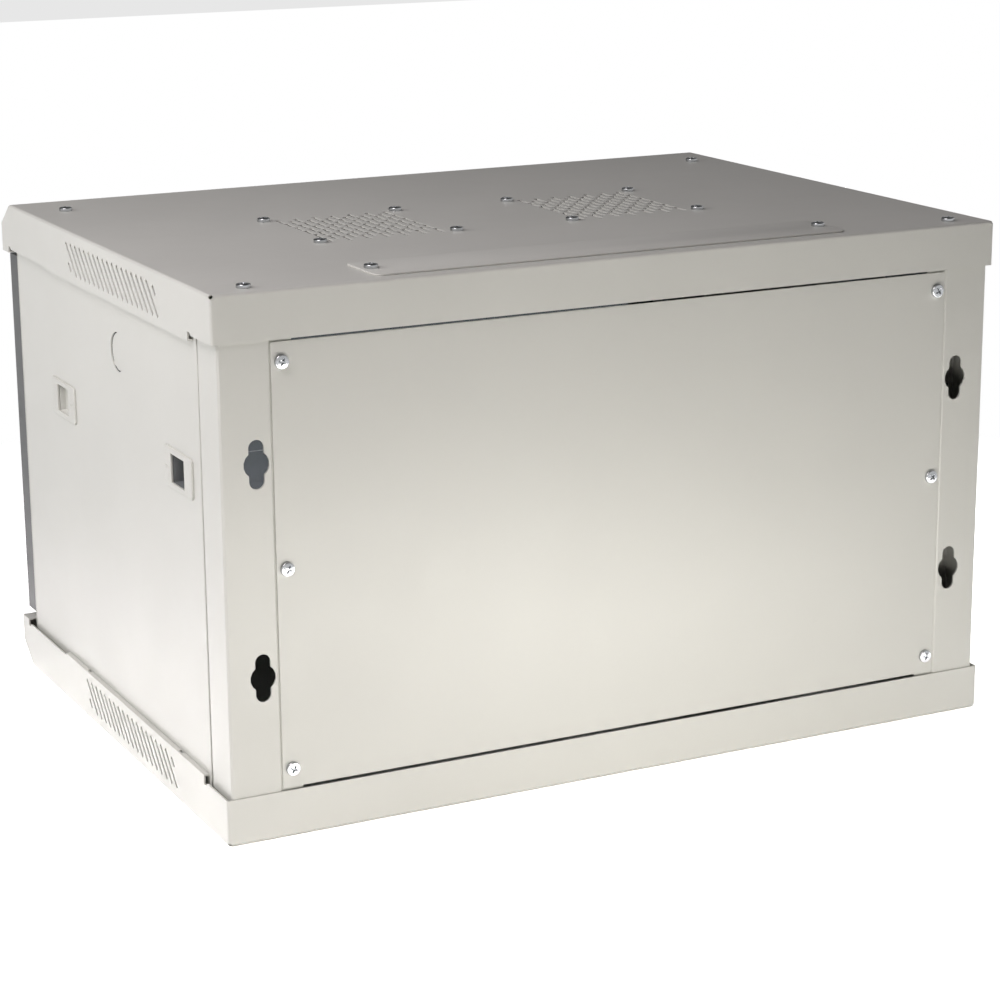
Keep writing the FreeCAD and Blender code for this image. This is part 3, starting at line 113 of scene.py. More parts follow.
def grain(tree, size_mm, detail=2.0, stretch=(1, 1, 1)):
    """A factor from 0 to 1 that varies over the piece in lumps about size_mm across."""
    place = node(tree, "ShaderNodeTexCoord")
    mapping = node(tree, "ShaderNodeMapping", values={"Scale": stretch},
                   links={"Vector": place.outputs["Object"]})
    lumps = node(tree, "ShaderNodeTexNoise", links={"Vector": mapping.outputs[0]},
                 values={"Scale": 1 / (size_mm * MM), "Detail": detail})
    # Noise keeps near 0.5, so its middle stretch is spread over the whole range.
    spread = node(tree, "ShaderNodeMapRange", values={"From Min": 0.3, "From Max": 0.7},
                  links={"Value": lumps.outputs[0]})
    return spread.outputs[0]


def finish(name, colours, roughness, drift, patches, relief, height_mm, metallic=0.0):
    """A material with two colours that follow drift, two roughnesses that follow patches, and a
    surface that rises by height_mm with relief.  Those three are each a grain's arguments:
    the size of its lumps in mm, its detail and, where it has one, its stretch."""
    material, tree, shader = surface(name)
    tint = node(tree, "ShaderNodeMix", data_type="RGBA",
                values={6: linear(colours[0]), 7: linear(colours[1])},
                links={0: grain(tree, *drift)})
    rough = node(tree, "ShaderNodeMapRange",
                 values={"To Min": roughness[0], "To Max": roughness[1]},
                 links={"Value": grain(tree, *patches)})
    raised = node(tree, "ShaderNodeBump", values={"Distance": height_mm * MM, "Strength": 0.4},
                  links={"Height": grain(tree, *relief)})
    shader.inputs["Metallic"].default_value = metallic
    tree.links.new(tint.outputs[2], shader.inputs["Base Color"])
    tree.links.new(rough.outputs[0], shader.inputs["Roughness"])
    tree.links.new(raised.outputs[0], shader.inputs["Normal"])
    return material


# %% [markdown]
# ## Powder coat
#
# Powder coat is a dry paint that is sprayed on and melted in an oven.  It flows out almost
# flat, but it keeps a fine orange peel and is never quite even in gloss, so a reflection in it
# is soft and slightly broken.  Noise drives three things here: a faint drift of the colour,
# the roughness, and a bump for the orange peel.  The real peel is about 0.5 mm across.  It is
# drawn at 2 mm so that it shows at all from across a room.

# %% Powder coat material


def powder_coat(name, shade, colour, roughness):
    """Baked powder coat, a little uneven in colour and in gloss, with orange peel."""
    return finish(name, (shade, colour), (roughness - 0.04, roughness + 0.04),
                  drift=(140, 1.5), patches=(35, 3), relief=(2.0, 1.0), height_mm=0.011)


CASE_GREY = powder_coat("powder_coated_steel_light_grey", "#d5d5cf", "#d9d9d3", 0.36)
FRAME_GREY = powder_coat("powder_coated_steel_frame", "#cfcfc8", "#d3d3cd", 0.42)
DOOR_GREY = powder_coat("powder_coated_steel_door", "#424344", "#464748", 0.42)
print("powder coats made:", [m.name for m in (CASE_GREY, FRAME_GREY, DOOR_GREY)])

# %% [markdown]
# ## Bare metals
#
# The rails, braces and screws are zinc plated: a thin bright metal layer over steel, silvery
# with a faint blue cast.  Cold rolled sheet keeps the fine lines of the rolls, so its noise is
# stretched along the sheet.  A screw head is turned or stamped and much smoother.

# %% Metal materials


def plated_metal(name, shade, colour, roughness, line_mm, stretch=(1, 1, 1), height_mm=0.0015):
    """Zinc or nickel plate, its grain stretched where the sheet under it was rolled."""
    lines = (line_mm, 2, stretch)
    return finish(name, (shade, colour), (roughness - 0.04, roughness + 0.05),
                  drift=lines, patches=lines, relief=lines, height_mm=height_mm, metallic=1.0)


ZINC_SHEET = plated_metal("zinc_plated_rolled_sheet", "#9a9da0", "#a3a6a9", 0.35, 0.6,
                          stretch=(1, 0.06, 1))
ZINC_SCREW = plated_metal("zinc_plated_screw", "#b6b8ba", "#bfc1c3", 0.17, 0.8)
ZINC_PART = plated_metal("zinc_plated_small_part", "#bbbebf", "#c6c9ca", 0.30, 0.6)
LOCK_NICKEL = plated_metal("nickel_plated_lock", "#c5c1b8", "#cfcbc2", 0.16, 1.2,
                           height_mm=0.0004)
print("metals made:", [m.name for m in (ZINC_SHEET, ZINC_SCREW, ZINC_PART, LOCK_NICKEL)])

# %% [markdown]
# ## Plastics, foam and glass
#
# The latches are moulded ABS with a spark-eroded grain, the fans black glass-filled plastic,
# the hinge bushes natural nylon.  Foam is dull because the small
# cells of its skin scatter the light.  The
# glass is toughened and tinted in the mass, so its colour comes from transmission, not paint.

# %% Plastic, foam and glass materials


def moulded(name, shade, colour, roughness, grain_mm=0.7, height_mm=0.004):
    """A moulded plastic, or foam, with the grain of its mould or the cells of its skin."""
    cells = (grain_mm, 2)
    return finish(name, (shade, colour), (roughness + 0.05, roughness - 0.05),
                  drift=cells, patches=cells, relief=cells, height_mm=height_mm)


LATCH_ABS = moulded("moulded_abs_light_grey", "#d3d3cd", "#d9d9d3", 0.45)
# The darker grey is painted shade for the shaded pockets of the rear slides, not a different
# plastic.
SLIDE_PAINTED_SHADE = moulded("moulded_abs_grey_painted_shade", "#6b6e6f", "#6f7273", 0.42)
FAN_PLASTIC = moulded("moulded_black_plastic", "#19191a", "#1c1d1e", 0.50)
NYLON = moulded("moulded_natural_nylon", "#d6d6cc", "#dcdcd2", 0.40)
FOAM = moulded("closed_cell_foam", "#141517", "#18191b", 0.90, grain_mm=1.2, height_mm=0.03)


def tinted_glass(name, colour):
    """Toughened glass, tinted in the mass, with faint smears in its polish."""
    material, tree, shader = surface(name)
    shader.inputs["Base Color"].default_value = linear(colour)
    shader.inputs["Transmission Weight"].default_value = 1.0
    shader.inputs["IOR"].default_value = 1.52
    smears = node(tree, "ShaderNodeMapRange", values={"To Min": 0.0, "To Max": 0.015},
                  links={"Value": grain(tree, 60, 3)})
    tree.links.new(smears.outputs[0], shader.inputs["Roughness"])
    return material


SMOKED_GLASS = tinted_glass("toughened_glass_grey_tint", "#54585b")
print("plastics and glass made")

# %% [markdown]
# ## Dressing the sheet parts
#
# The CAD nodes keep their meshes and only change material.  The record says which finish each
# node has, so one table from the record's slots to the materials above dresses them all.

# %% Give each CAD node its finish
FINISH = {
    "light_grey_paint": CASE_GREY,
    "frame_paint": FRAME_GREY,
    "zinc_sheet": ZINC_SHEET,
    "door_paint": DOOR_GREY,
    "smoked_glass": SMOKED_GLASS,
    "foam_seal": FOAM,
    "zinc_steel": ZINC_PART,
    "zinc_screws": ZINC_SCREW,
    "nylon": NYLON,
    "lock_chrome": LOCK_NICKEL,
    "fan_plastic": FAN_PLASTIC,
    "latch_plastic": LATCH_ABS,
    "latch_slide_plastic": SLIDE_PAINTED_SHADE,
}
slot_of = {row["node"]: row["material_slot"] for row in frame["record"]["subparts"]}


def wear(piece, material):
    """Puts one material on the whole piece."""
    piece.data.materials.clear()
    piece.data.materials.append(material)


for name, piece in frame["nodes"].items():
    wear(piece, FINISH[slot_of[name]])
print("dressed", len(frame["nodes"]), "CAD nodes")

# %% [markdown]
# ## Pan head screws
#
# All the screws that show are zinc plated machine screws with a pan head: a low cylinder with
# a rounded rim, a crowned top and a cross recess.  The CAD draws each as a plain polygon, so
# one fine head is drawn here once, and Geometry Nodes sets copies of it on points at the
# screws' seats.  Each copy is turned to its seat's direction and spun at random, because no
# one lines up the crosses when they tighten screws.

# %% One pan head screw, standing on its seat and pointing up

HEAD_RADIUS = 4.8 * MM
HEAD_HEIGHT = 3.3 * MM
RIM_BEND = 0.9 * MM            # radius of the rounded rim
CROWN = 0.6 * MM               # how much the middle of the head stands above the rim
RECESS_DEPTH = 1.9 * MM
RECESS_ARM = 2.9 * MM          # middle of the cross to the end of an arm
RECESS_WIDTH = 1.5 * MM
SHANK_RADIUS = 2.5 * MM
THREAD_PITCH = 0.8 * MM
THREAD_DEPTH = 0.42 * MM
NECK = 0.9 * SHANK_RADIUS      # radius of the plain shank right under the head
SEAT_EDGE = 0.15 * MM          # small bevel round the underside of the head
RIM_STEPS = 6
CROWN_STEPS = 4
TURNED_STEPS = 40              # facets round a screw


def lathe(profile, steps):
    """A surface of revolution about Z from (radius, height) points, its poles closed."""
    made = bmesh.new()
    rings = []
    for radius, height in profile:
        if radius < MERGE / 10:
            rings.append([made.verts.new((0, 0, height))])
            continue
        turns = [2 * math.pi * step / steps for step in range(steps)]
        rings.append([made.verts.new((radius * math.cos(t), radius * math.sin(t), height))
                      for t in turns])
    for low, high in zip(rings, rings[1:]):
        for step in range(steps):
            after = (step + 1) % steps
            corners = [low[step % len(low)], low[after % len(low)],
                       high[after % len(high)], high[step % len(high)]]
            made.faces.new(list(dict.fromkeys(corners)))
    bmesh.ops.recalc_face_normals(made, faces=made.faces)
    return made


def mesh_from(made, name):
    """The open mesh as a finished one; the open one is given up."""
    mesh = bpy.data.meshes.new(name)
    made.to_mesh(mesh)
    made.free()
    return mesh


def plain_mesh(piece):
    """Turns the result of a piece's modifiers into its own mesh."""
    view = bpy.context.evaluated_depsgraph_get()
    mesh = bpy.data.meshes.new_from_object(piece.evaluated_get(view))
    piece.modifiers.clear()
    piece.data = mesh


def cut_with(piece, cutter):
    """Cuts one mesh object out of another and removes the cutter."""
    cut = piece.modifiers.new("cut", "BOOLEAN")
    cut.operation = "DIFFERENCE"
    cut.object = cutter
    plain_mesh(piece)
    bpy.data.objects.remove(cutter)


def new_object(name, data):
    """An object for a mesh, a lamp or a camera, put in the scene."""
    made = bpy.data.objects.new(name, data)
    bpy.context.collection.objects.link(made)
    return made


def head_profile():
    """Half outline of the head: seat, side, rounded rim, crowned top."""
    points = [(NECK, 0.0), (HEAD_RADIUS - SEAT_EDGE, 0.0), (HEAD_RADIUS, SEAT_EDGE)]
    side_top = HEAD_HEIGHT - CROWN - RIM_BEND
    for step in range(RIM_STEPS + 1):
        turn = math.pi / 2 * step / RIM_STEPS
        points.append((HEAD_RADIUS - RIM_BEND * (1 - math.cos(turn)),
                       side_top + RIM_BEND * math.sin(turn)))
    rim = HEAD_RADIUS - RIM_BEND
    for step in range(1, CROWN_STEPS + 1):
        share = step / CROWN_STEPS
        points.append((rim * (1 - share), HEAD_HEIGHT - CROWN * (1 - share) ** 2))
    return points


def screw_profile(length):
    """Half outline of the whole screw: shank with its thread, then the head."""
    points = [(0.0, -length), (SHANK_RADIUS - THREAD_DEPTH, -length)]
    turns = int(length / THREAD_PITCH)
    for turn in range(turns):
        low = -length + turn * THREAD_PITCH
        points.append((SHANK_RADIUS - THREAD_DEPTH, low + 0.2 * THREAD_PITCH))
        points.append((SHANK_RADIUS, low + 0.6 * THREAD_PITCH))
    points.append((NECK, -0.1 * MM))
    return points + head_profile()


def cross_cutter():
    """Cutter for the cross recess: a plus shape that narrows downwards."""
    made = bmesh.new()
    rings = []
    for height, share in ((HEAD_HEIGHT - RECESS_DEPTH, 0.4), (HEAD_HEIGHT + 0.5 * MM, 1.15)):
        arm, half = RECESS_ARM * share, RECESS_WIDTH / 2 * share
        ring = []
        for quarter in range(4):
            turn = Matrix.Rotation(quarter * math.pi / 2, 3, "Z")
            for x, y in ((arm, -half), (arm, half), (half, half)):
                ring.append(made.verts.new(turn @ Vector((x, y, height))))
        rings.append(ring)
    low, high = rings
    made.faces.new(low[::-1])
    made.faces.new(high)
    for step in range(len(low)):
        after = (step + 1) % len(low)
        made.faces.new((low[step], low[after], high[after], high[step]))
    bmesh.ops.recalc_face_normals(made, faces=made.faces)
    return new_object("cross_cutter", mesh_from(made, "cross_cutter"))


def pan_head_screw(length):
    """A screw as an object of its own, which the node trees copy."""
    turned_screw = lathe(screw_profile(length), TURNED_STEPS)
    screw = new_object("pan_head_screw", mesh_from(turned_screw, "screw"))
    cut_with(screw, cross_cutter())
    screw.data.shade_smooth()
    screw.data.set_sharp_from_angle(angle=math.radians(35))
    return screw


# %% [markdown]
# ## Where the screws stand
#
# A CAD node holds several screws as separate islands of one mesh.  Walking the islands gives
# each screw's box, and the box gives its seat: the head is as high as the CAD says, and it is
# at the end that points out.

# %% Islands of a node's mesh and the seats in them


def islands(mesh):
    """Boxes (low, high) of the parts of a mesh that share no corner, in order of place."""
    made = bmesh.new()
    made.from_mesh(mesh)
    bmesh.ops.remove_doubles(made, verts=made.verts, dist=MERGE)
    boxes, left = [], set(made.verts)
    while left:
        reach = [left.pop()]
        found = []
        while reach:
            corner = reach.pop()
            found.append(corner.co.copy())
            for edge in corner.link_edges:
                other = edge.other_vert(corner)
                if other in left:
                    left.remove(other)
                    reach.append(other)
        boxes.append((Vector([min(c[i] for c in found) for i in range(3)]),
                      Vector([max(c[i] for c in found) for i in range(3)])))
    made.free()
    # A set gives its corners in any order, so the boxes are sorted to be the same in each run.
    return sorted(boxes, key=lambda box: tuple(box[0]))


def seats_of(name, axis, sides=(1,)):
    """Seats in a node as (place, direction, length of shank); sides tells which way is out."""
    seats = []
    for low, high in islands(frame["nodes"][name].data):
        centre = (low + high) / 2
        out = sides[0] if len(sides) == 1 else math.copysign(1, centre[axis])
        end = high[axis] if out > 0 else low[axis]
        place = centre.copy()
        place[axis] = end - out * HEAD_HEIGHT
        way = Vector((0, 0, 0))
        way[axis] = out
        seats.append((place, way, high[axis] - low[axis] - HEAD_HEIGHT))
    return seats


SCREWS = {
    "roof_corner_screws": seats_of("roof_corner_screws", 2),
    "fan_screws": seats_of("fan_screws", 2),
    "entry_screws_top": seats_of("entry_screws_top", 2),
    "entry_screws_bottom": seats_of("entry_screws_bottom", 2),
    "back_panel_screws": seats_of("back_panel_screws", 1),
    "brace_screws": seats_of("brace_screws", 1),
    "rail_screws": seats_of("rail_screws", 0, sides=(-1, 1)),
}
for name, seats in SCREWS.items():
    print(name, len(seats), "screws, shank", round(seats[0][2] / MM, 2), "mm")

# %% [markdown]
# ## Setting the screws with Geometry Nodes
#
# The seats become the points of a small mesh, and an attribute holds each seat's direction.
# The tree spins each copy about its own axis, turns it to its direction, puts it on its point
# and makes real geometry of the copies.

# %% The tree that sets screws on points


def setting_tree():
    """Node group: points and one screw in, screws on the points out."""
    tree = bpy.data.node_groups.new("set_screws", "GeometryNodeTree")
    face = tree.interface
    face.new_socket("Geometry", in_out="INPUT", socket_type="NodeSocketGeometry")
    face.new_socket("Screw", in_out="INPUT", socket_type="NodeSocketObject")
    face.new_socket("Finish", in_out="INPUT", socket_type="NodeSocketMaterial")
    face.new_socket("Seed", in_out="INPUT", socket_type="NodeSocketInt")
    face.new_socket("Geometry", in_out="OUTPUT", socket_type="NodeSocketGeometry")
    given = node(tree, "NodeGroupInput").outputs
    model = node(tree, "GeometryNodeObjectInfo", links={"Object": given["Screw"]})
    way = node(tree, "GeometryNodeInputNamedAttribute", values={"Name": "way"},
               data_type="FLOAT_VECTOR")
    aim = node(tree, "FunctionNodeAlignRotationToVector", links={"Vector": way.outputs[0]},
               axis="Z")
    spin = node(tree, "FunctionNodeRandomValue", values={2: 0.0, 3: 2 * math.pi},
                links={"Seed": given["Seed"]})
    about = node(tree, "ShaderNodeCombineXYZ", links={"Z": spin.outputs[1]})
    turned = node(tree, "FunctionNodeRotateRotation", rotation_space="LOCAL",
                  links={0: aim.outputs[0], 1: about.outputs[0]})
    points = node(tree, "GeometryNodeMeshToPoints", links={"Mesh": given["Geometry"]})
    copies = node(tree, "GeometryNodeInstanceOnPoints",
                  links={"Points": points.outputs[0], "Instance": model.outputs["Geometry"],
                         "Rotation": turned.outputs[0]})
    real = node(tree, "GeometryNodeRealizeInstances", links={0: copies.outputs[0]})
    dressed = node(tree, "GeometryNodeSetMaterial",
                   links={"Geometry": real.outputs[0], "Material": given["Finish"]})
    node(tree, "NodeGroupOutput", links={0: dressed.outputs[0]})
    return tree


def set_input(modifier, name, value):
    """Sets a named input of a modifier's tree by the socket's identifier."""
    sockets = modifier.node_group.interface.items_tree
    socket = next(s for s in sockets if s.name == name and s.in_out == "INPUT")
    modifier[socket.identifier] = value


SET_SCREWS = setting_tree()


def set_screws(name, seats, seed):
    """One mesh with a fine screw on each seat of a node, in place of the node."""
    screw = pan_head_screw(seats[0][2])
    mesh = bpy.data.meshes.new(name)
    mesh.from_pydata([place for place, way, length in seats], [], [])
    ways = mesh.attributes.new("way", "FLOAT_VECTOR", "POINT")
    for index, (place, way, length) in enumerate(seats):
        ways.data[index].vector = way
    piece = new_object("fine_" + name, mesh)
    modifier = piece.modifiers.new("screws", "NODES")
    modifier.node_group = SET_SCREWS
    set_input(modifier, "Screw", screw)
    set_input(modifier, "Finish", ZINC_SCREW)
    set_input(modifier, "Seed", seed)
    plain_mesh(piece)
    bpy.data.objects.remove(screw)
    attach(piece, "cabinet")
    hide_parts(name)
    return piece


for seed, (name, seats) in enumerate(SCREWS.items()):
    piece = set_screws(name, seats, seed)
    print(piece.name, len(piece.data.polygons), "faces")

# %% [markdown]
# ## Side panels
#
# A side panel is a shallow tray that hooks in below and is held by its latches above.  The real
# one has about a millimetre of play, which shows as a dark seam along the rear post.  Its
# knock-out is half sheared: the press pushes the disc in by part of the sheet's thickness, so
# that a knock opens the hole.  The seam is a small move of corners in a copy of the CAD mesh,
# and the disc is a new one, turned with a soft rim, in a round hole.

# %% Side panels with their seam and knock-out
SEAM = 1.5 * MM                # play at the rear post
FOLD_REACH = 3 * MM            # how far the folded edge reaches into the panel
KNOCKOUT_FROM_CENTRE = 29 * MM
KNOCKOUT_BELOW_TOP = 72 * MM
KNOCKOUT_HOLE = 14.0 * MM      # radius of the hole
KNOCKOUT_DISC = 13.3 * MM      # radius of the disc in it
KNOCKOUT_PUSH = 0.9 * MM
KNOCKOUT_RIM = 0.4 * MM        # soft rim of the disc
KNOCKOUT_STEPS = 48
SHEET = 1.2 * MM
BRIDGE = Vector((1.0, 2.0, 3.0)) * MM      # the two bits of metal that hold the disc


def merged_copy(name):
    """The CAD node's mesh with its doubled corners merged, open for changes."""
    made = bmesh.new()
    made.from_mesh(frame["nodes"][name].data)
    bmesh.ops.remove_doubles(made, verts=made.verts, dist=MERGE)
    return made


def stand_in(made, name, body, material):
    """Puts a changed copy in the place of its CAD node."""
    piece = new_object("fine_" + name, mesh_from(made, "fine_" + name))
    wear(piece, material)
    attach(piece, body)
    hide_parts(name)
    return piece


def turned(made, place, out):
    """Turns a lathed shape's Z axis to the out side of X and moves it to place."""
    way = Vector((out, 0, 0)).to_track_quat("Z", "Y").to_matrix().to_4x4()
    bmesh.ops.transform(made, matrix=Matrix.Translation(place) @ way, verts=made.verts)
    return made


def knockout_disc(place, out):
    """The pushed-in disc and its two bridges, as an open mesh."""
    rim = KNOCKOUT_RIM
    disc = lathe([(0, -SHEET), (KNOCKOUT_DISC, -SHEET), (KNOCKOUT_DISC, -rim),
                  (KNOCKOUT_DISC - 0.3 * rim, -0.3 * rim), (KNOCKOUT_DISC - rim, 0), (0, 0)],
                 KNOCKOUT_STEPS)
    for way in (-1, 1):
        turn = Matrix.Rotation(math.radians(45), 4, "Z")
        seat = Matrix.Translation((way * (KNOCKOUT_DISC + KNOCKOUT_HOLE) / 2, 0, -SHEET / 2))
        bmesh.ops.create_cube(disc, size=1, matrix=turn @ seat @ Matrix.Diagonal((*BRIDGE.yzx, 1)))
    return turned(disc, place - Vector((out * KNOCKOUT_PUSH, 0, 0)), out)


def fine_side_panel(name, out):
    """Side panel with a seam at its rear edge and its knock-out disc pushed in."""
    made = merged_copy(name)
    rear = max(corner.co.y for corner in made.verts)
    face = max(out * corner.co.x for corner in made.verts) * out
    for corner in made.verts:
        if corner.co.y > rear - FOLD_REACH:
            corner.co.y -= SEAM
    piece = stand_in(made, name, "cabinet", CASE_GREY)
    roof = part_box("top_cover")[1][2]
    place = Vector((face, KNOCKOUT_FROM_CENTRE, roof - KNOCKOUT_BELOW_TOP))
    drill = lathe([(0, -3 * SHEET), (KNOCKOUT_HOLE, -3 * SHEET), (KNOCKOUT_HOLE, SHEET),
                   (0, SHEET)], KNOCKOUT_STEPS)
    cut_with(piece, new_object("drill", mesh_from(turned(drill, place, out), "drill")))
    whole = bmesh.new()
    whole.from_mesh(piece.data)
    disc = mesh_from(knockout_disc(place, out), "disc")
    whole.from_mesh(disc)
    whole.to_mesh(piece.data)
    whole.free()
    return piece


for side, out in (("right", 1), ("left", -1)):
    panel_piece = fine_side_panel("side_panel_" + side, out)
    print(panel_piece.name, len(panel_piece.data.polygons), "faces")

# %% [markdown]
# ## Latches
#
# The latches are injection moulded, so every edge is slightly round: a sharp corner in the
# mould would weaken the part and catch the light as a hard line.  A bevel on a copy of the CAD
# mesh gives them that.  A short raised rib stands on each bezel, beside the slide.
# All four slides are the same moulding; the ones at the back are given a darker grey, which is
# painted shade for the shade that falls in their pockets.

# %% Moulded latches with soft edges
MOULD_EDGE = 0.35 * MM
RIB_LENGTH = 5.0 * MM
RIB_WIDTH = 1.5 * MM
RIB_HEIGHT = 1.4 * MM
RIB_FROM_EDGE = 6.5 * MM
PLATE_EDGE = 0.45 * MM         # soft edge of the cable entry plates
EDGE_STEPS = 3


def soft_edged(piece, width):
    """Rounds every hard edge of a piece whose flat faces were triangles."""
    made = bmesh.new()
    made.from_mesh(piece.data)
    bmesh.ops.dissolve_limit(made, angle_limit=math.radians(1), verts=made.verts, edges=made.edges)
    made.to_mesh(piece.data)
    made.free()
    bevel = piece.modifiers.new("edges", "BEVEL")
    bevel.width = width
    bevel.segments = EDGE_STEPS
    bevel.limit_method = "ANGLE"
    bevel.angle_limit = math.radians(25)
    bevel.use_clamp_overlap = True
    plain_mesh(piece)
    piece.data.shade_smooth()
    piece.data.set_sharp_from_angle(angle=math.radians(40))


def add_rib(made, place, size):
    """Adds a small raised box with its middle at place to an open mesh."""
    turn = Matrix.Translation(place) @ Matrix.Diagonal((*size, 1))
    bmesh.ops.create_cube(made, size=1, matrix=turn)


def fine_latch(end, side, out):
    """Housing and slide of one latch."""
    housing = "latch_housing_%s_%s" % (end, side)
    slider = "latch_slider_%s_%s" % (end, side)
    low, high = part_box(housing)
    away = -1 if end == "rear" else 1
    edge = low[1] if end == "rear" else high[1]
    face = high[0] if out > 0 else low[0]
    made = merged_copy(housing)
    add_rib(made, Vector((face, edge - away * RIB_FROM_EDGE, (low[2] + high[2]) / 2)),
            (RIB_HEIGHT, RIB_LENGTH, RIB_WIDTH))
    frame_piece = stand_in(made, housing, "cabinet", LATCH_ABS)
    # The rear slides get the darker grey: painted shade for their shaded pockets.
    plastic = SLIDE_PAINTED_SHADE if end == "rear" else LATCH_ABS
    slide_piece = stand_in(merged_copy(slider), slider, "latch_%s_%s" % (end, side), plastic)
    for piece in (frame_piece, slide_piece):
        soft_edged(piece, MOULD_EDGE)
    return frame_piece, slide_piece


for name in ("entry_plate_top", "entry_plate_bottom"):
    plate = stand_in(merged_copy(name), name, "cabinet", CASE_GREY)
    soft_edged(plate, PLATE_EDGE)
    print(plate.name, len(plate.data.polygons), "faces")

for side, out in (("right", 1), ("left", -1)):
    for end in ("rear", "front"):
        made_pieces = fine_latch(end, side, out)
        print([(piece.name, len(piece.data.polygons)) for piece in made_pieces])

# %% [markdown]
# ## World
#
# The camera sees pure white all round.  The light on the cabinet is separate and much lower,
# so that the pale paint keeps its shading.  Gloss and glass see the white dimmed in two places,
# on the door's side and overhead, as if dark panels stood there.

# %% World
SKY = 0.05                     # faint light from everywhere
FLAG = 0.2                     # what gloss sees of the dark panel on the door's side
CEILING = 0.15                 # and of the dark ceiling between the lamps


def either(tree, first, second):
    """The larger of two factors."""
    larger = node(tree, "ShaderNodeMath", operation="MAXIMUM", links={0: first, 1: second})
    return larger.outputs[0]


def white_world():
    """White for the camera, a dimmed white for gloss and glass, faint light for the rest."""
    world = bpy.data.worlds.new("studio")
    world.use_nodes = True
    tree = world.node_tree
    tree.nodes.clear()
    way = node(tree, "ShaderNodeTexCoord")
    parts = node(tree, "ShaderNodeSeparateXYZ", links={0: way.outputs["Generated"]})
    panel = node(tree, "ShaderNodeMapRange", values={1: -0.2, 2: -0.6, 3: 1.0, 4: FLAG},
                 links={"Value": parts.outputs["Y"]})
    ceiling = node(tree, "ShaderNodeMapRange", values={1: 0.4, 2: 0.65, 3: 1.0, 4: CEILING},
                   links={"Value": parts.outputs["Z"]})
    both = node(tree, "ShaderNodeMath", operation="MULTIPLY",
                links={0: panel.outputs[0], 1: ceiling.outputs[0]})
    dimmed = node(tree, "ShaderNodeBackground", links={"Strength": both.outputs[0]})
    plain = node(tree, "ShaderNodeBackground", values={"Strength": SKY})
    white = node(tree, "ShaderNodeBackground", values={"Strength": 1.0})
    path = node(tree, "ShaderNodeLightPath")
    mirror = either(tree, path.outputs["Is Glossy Ray"], path.outputs["Is Transmission Ray"])
    unseen = node(tree, "ShaderNodeMixShader",
                  links={0: mirror, 1: plain.outputs[0], 2: dimmed.outputs[0]})
    whole = node(tree, "ShaderNodeMixShader",
                 links={0: path.outputs["Is Camera Ray"], 1: unseen.outputs[0],
                        2: white.outputs[0]})
    node(tree, "ShaderNodeOutputWorld", links={"Surface": whole.outputs[0]})
    return world


bpy.context.scene.world = white_world()
print("world made:", bpy.context.scene.world.name)

# %% [markdown]
# ## Floor paper
#
# The paper reflects plainly for the light that falls on the cabinet.  Rays that show the paper
# itself see it lifted to white, with the cabinet's shadow left in it, and the shadow fades out
# well away from the cabinet.

# %% Floor paper
FLOOR_REACH = 6.0
FLOOR_DROP = 0.5 * MM          # keeps the paper clear of the cabinet's underside
FLOOR_LIFT = 3.5
FADE_FROM, FADE_TO = 0.55, 0.95


def seen_ray(tree):
    """1 for rays that show the stage itself: from the camera, off metal and through glass."""
    path = node(tree, "ShaderNodeLightPath")
    mirror = either(tree, path.outputs["Is Camera Ray"], path.outputs["Is Glossy Ray"])
    return either(tree, mirror, path.outputs["Is Transmission Ray"])


def seamless_paper():
    """White paper that is lifted where it is seen and pure white far out."""
    material, tree, shader = surface("seamless_paper_white")
    shader.inputs["Base Color"].default_value = linear("#f4f4f2")
    shader.inputs["Roughness"].default_value = 0.9
    seen = seen_ray(tree)
    lifted = node(tree, "ShaderNodeBsdfDiffuse", values={"Color": [FLOOR_LIFT] * 3 + [1.0]})
    shown = node(tree, "ShaderNodeMixShader",
                 links={0: seen, 1: shader.outputs[0], 2: lifted.outputs[0]})
    place = node(tree, "ShaderNodeTexCoord")
    away = node(tree, "ShaderNodeVectorMath", operation="LENGTH",
                links={0: place.outputs["Object"]})
    far = node(tree, "ShaderNodeMapRange", values={"From Min": FADE_FROM, "From Max": FADE_TO},
               links={"Value": away.outputs["Value"]})
    fade = node(tree, "ShaderNodeMath", operation="MULTIPLY", links={0: far.outputs[0], 1: seen})
    white = node(tree, "ShaderNodeEmission", values={"Strength": 1.0})
    faded = node(tree, "ShaderNodeMixShader",
                 links={0: fade.outputs[0], 1: shown.outputs[0], 2: white.outputs[0]})
    output = next(n for n in tree.nodes if n.type == "OUTPUT_MATERIAL")
    tree.links.new(faded.outputs[0], output.inputs["Surface"])
    return material


floor_mesh = bpy.data.meshes.new("floor")
floor_mesh.from_pydata([(x * FLOOR_REACH, y * FLOOR_REACH, 0)
                        for x, y in ((-1, -1), (1, -1), (1, 1), (-1, 1))], [], [(0, 1, 2, 3)])
floor = new_object("floor", floor_mesh)
floor.location.z = -FLOOR_DROP
wear(floor, seamless_paper())
print("floor", 2 * FLOOR_REACH, "m wide")

# %% [markdown]
# ## Lamps
#
# A wide lamp stands high on the right, another above the roof and a long low one before the
# door.  Three strips near the floor behind the back panel stand in for the light that white
# paper throws back up.  A narrow one looks down on the floor on the left and thins out the
# shadow that the first lamp casts there.

# %% Lamps
WARM = "#fffcf6"


def soft_lamp(name, place, aim, width, height, power, colour="#ffffff", spread=180):
    """A large lamp at place that shines on aim, its light kept within spread degrees."""
    data = bpy.data.lights.new(name, "AREA")
    data.shape = "RECTANGLE"
    data.size = width
    data.size_y = height
    data.energy = power
    data.color = linear(colour)[:3]
    data.spread = math.radians(spread)
    lamp = new_object(name, data)
    lamp.location = place
    lamp.rotation_euler = (Vector(aim) - Vector(place)).to_track_quat("-Z", "Y").to_euler()
    lamp.visible_camera = False
    return lamp


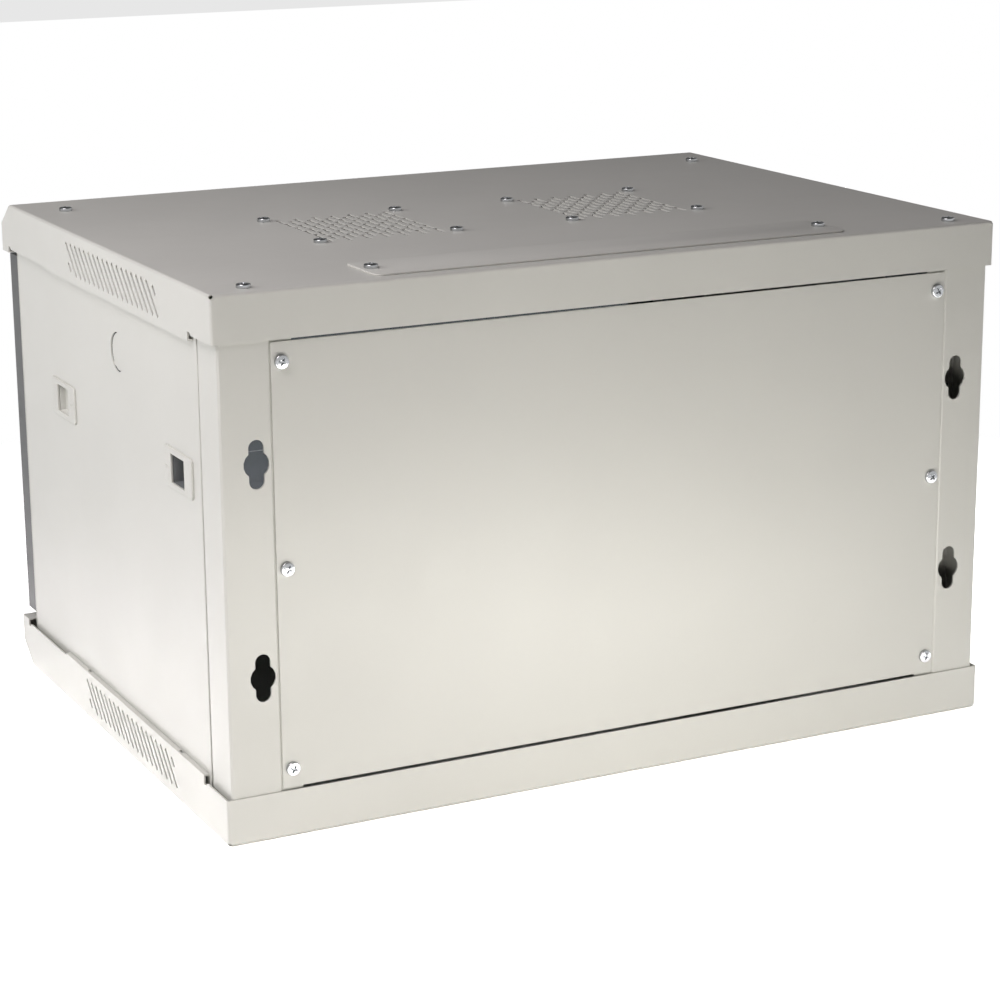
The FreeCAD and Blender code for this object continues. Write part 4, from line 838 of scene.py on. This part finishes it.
middle = (frame_low + frame_high) / 2
key_lamp = soft_lamp("key_lamp", (1.7, -0.15, 0.95), middle, 0.9, 0.6, 11.2)
key_lamp.visible_glossy = False      # or the roof mirrors it to whoever looks from the far side
soft_lamp("top_lamp", (0.9, 0.45, 1.4), middle, 0.8, 0.8, 11.0, "#fff8fb")
soft_lamp("door_lamp", (-1.0, -1.5, 0.14), (0, 0, 0.14), 1.0, 0.2, 10)
soft_lamp("low_lamp_1", (0.40, 0.75, 0.03), (0.3, 0.22, 0.05), 0.5, 0.05, 0.72, WARM)
soft_lamp("low_lamp_2", (0.00, 0.70, 0.03), (0.0, 0.22, 0.05), 0.5, 0.05, 0.86, WARM)
soft_lamp("low_lamp_3", (-0.20, 0.55, 0.02), (-0.25, 0.22, 0.0), 0.5, 0.03, 0.25, WARM)
soft_lamp("floor_lamp", (-0.8, 0.1, 0.6), (-0.8, 0.1, 0), 0.6, 0.9, 2.0, spread=80)
print("lamps:", len(bpy.data.lights))

# %% [markdown]
# ## Camera
#
# The cabinet is seen from behind and to its right, a little from above, through a long lens.

# %% Camera
CAMERA_PLACE = Vector((0.8836, 1.7924, 0.6784))
CAMERA_AZIMUTH = 153.40        # looks along (sin, cos) of this, seen from above
CAMERA_DOWN = 14.93
CAMERA_ROLL = -0.45
CAMERA_LENS = 97.55            # mm on a 36 mm wide sensor

camera_data = bpy.data.cameras.new("camera")
camera_data.sensor_width = 36
camera_data.lens = CAMERA_LENS
camera_data.clip_end = 50
camera = new_object("camera", camera_data)
azimuth, down = math.radians(CAMERA_AZIMUTH), math.radians(CAMERA_DOWN)
looks = Vector((-math.sin(azimuth) * math.cos(down), math.cos(azimuth) * math.cos(down),
                -math.sin(down)))
roll = Matrix.Rotation(math.radians(CAMERA_ROLL), 4, "Z").to_quaternion()
camera.location = CAMERA_PLACE
camera.rotation_mode = "QUATERNION"
camera.rotation_quaternion = looks.to_track_quat("-Z", "Y") @ roll
bpy.context.scene.camera = camera
bpy.context.scene.view_settings.view_transform = "Standard"
print("camera looks along", [round(c, 4) for c in looks])
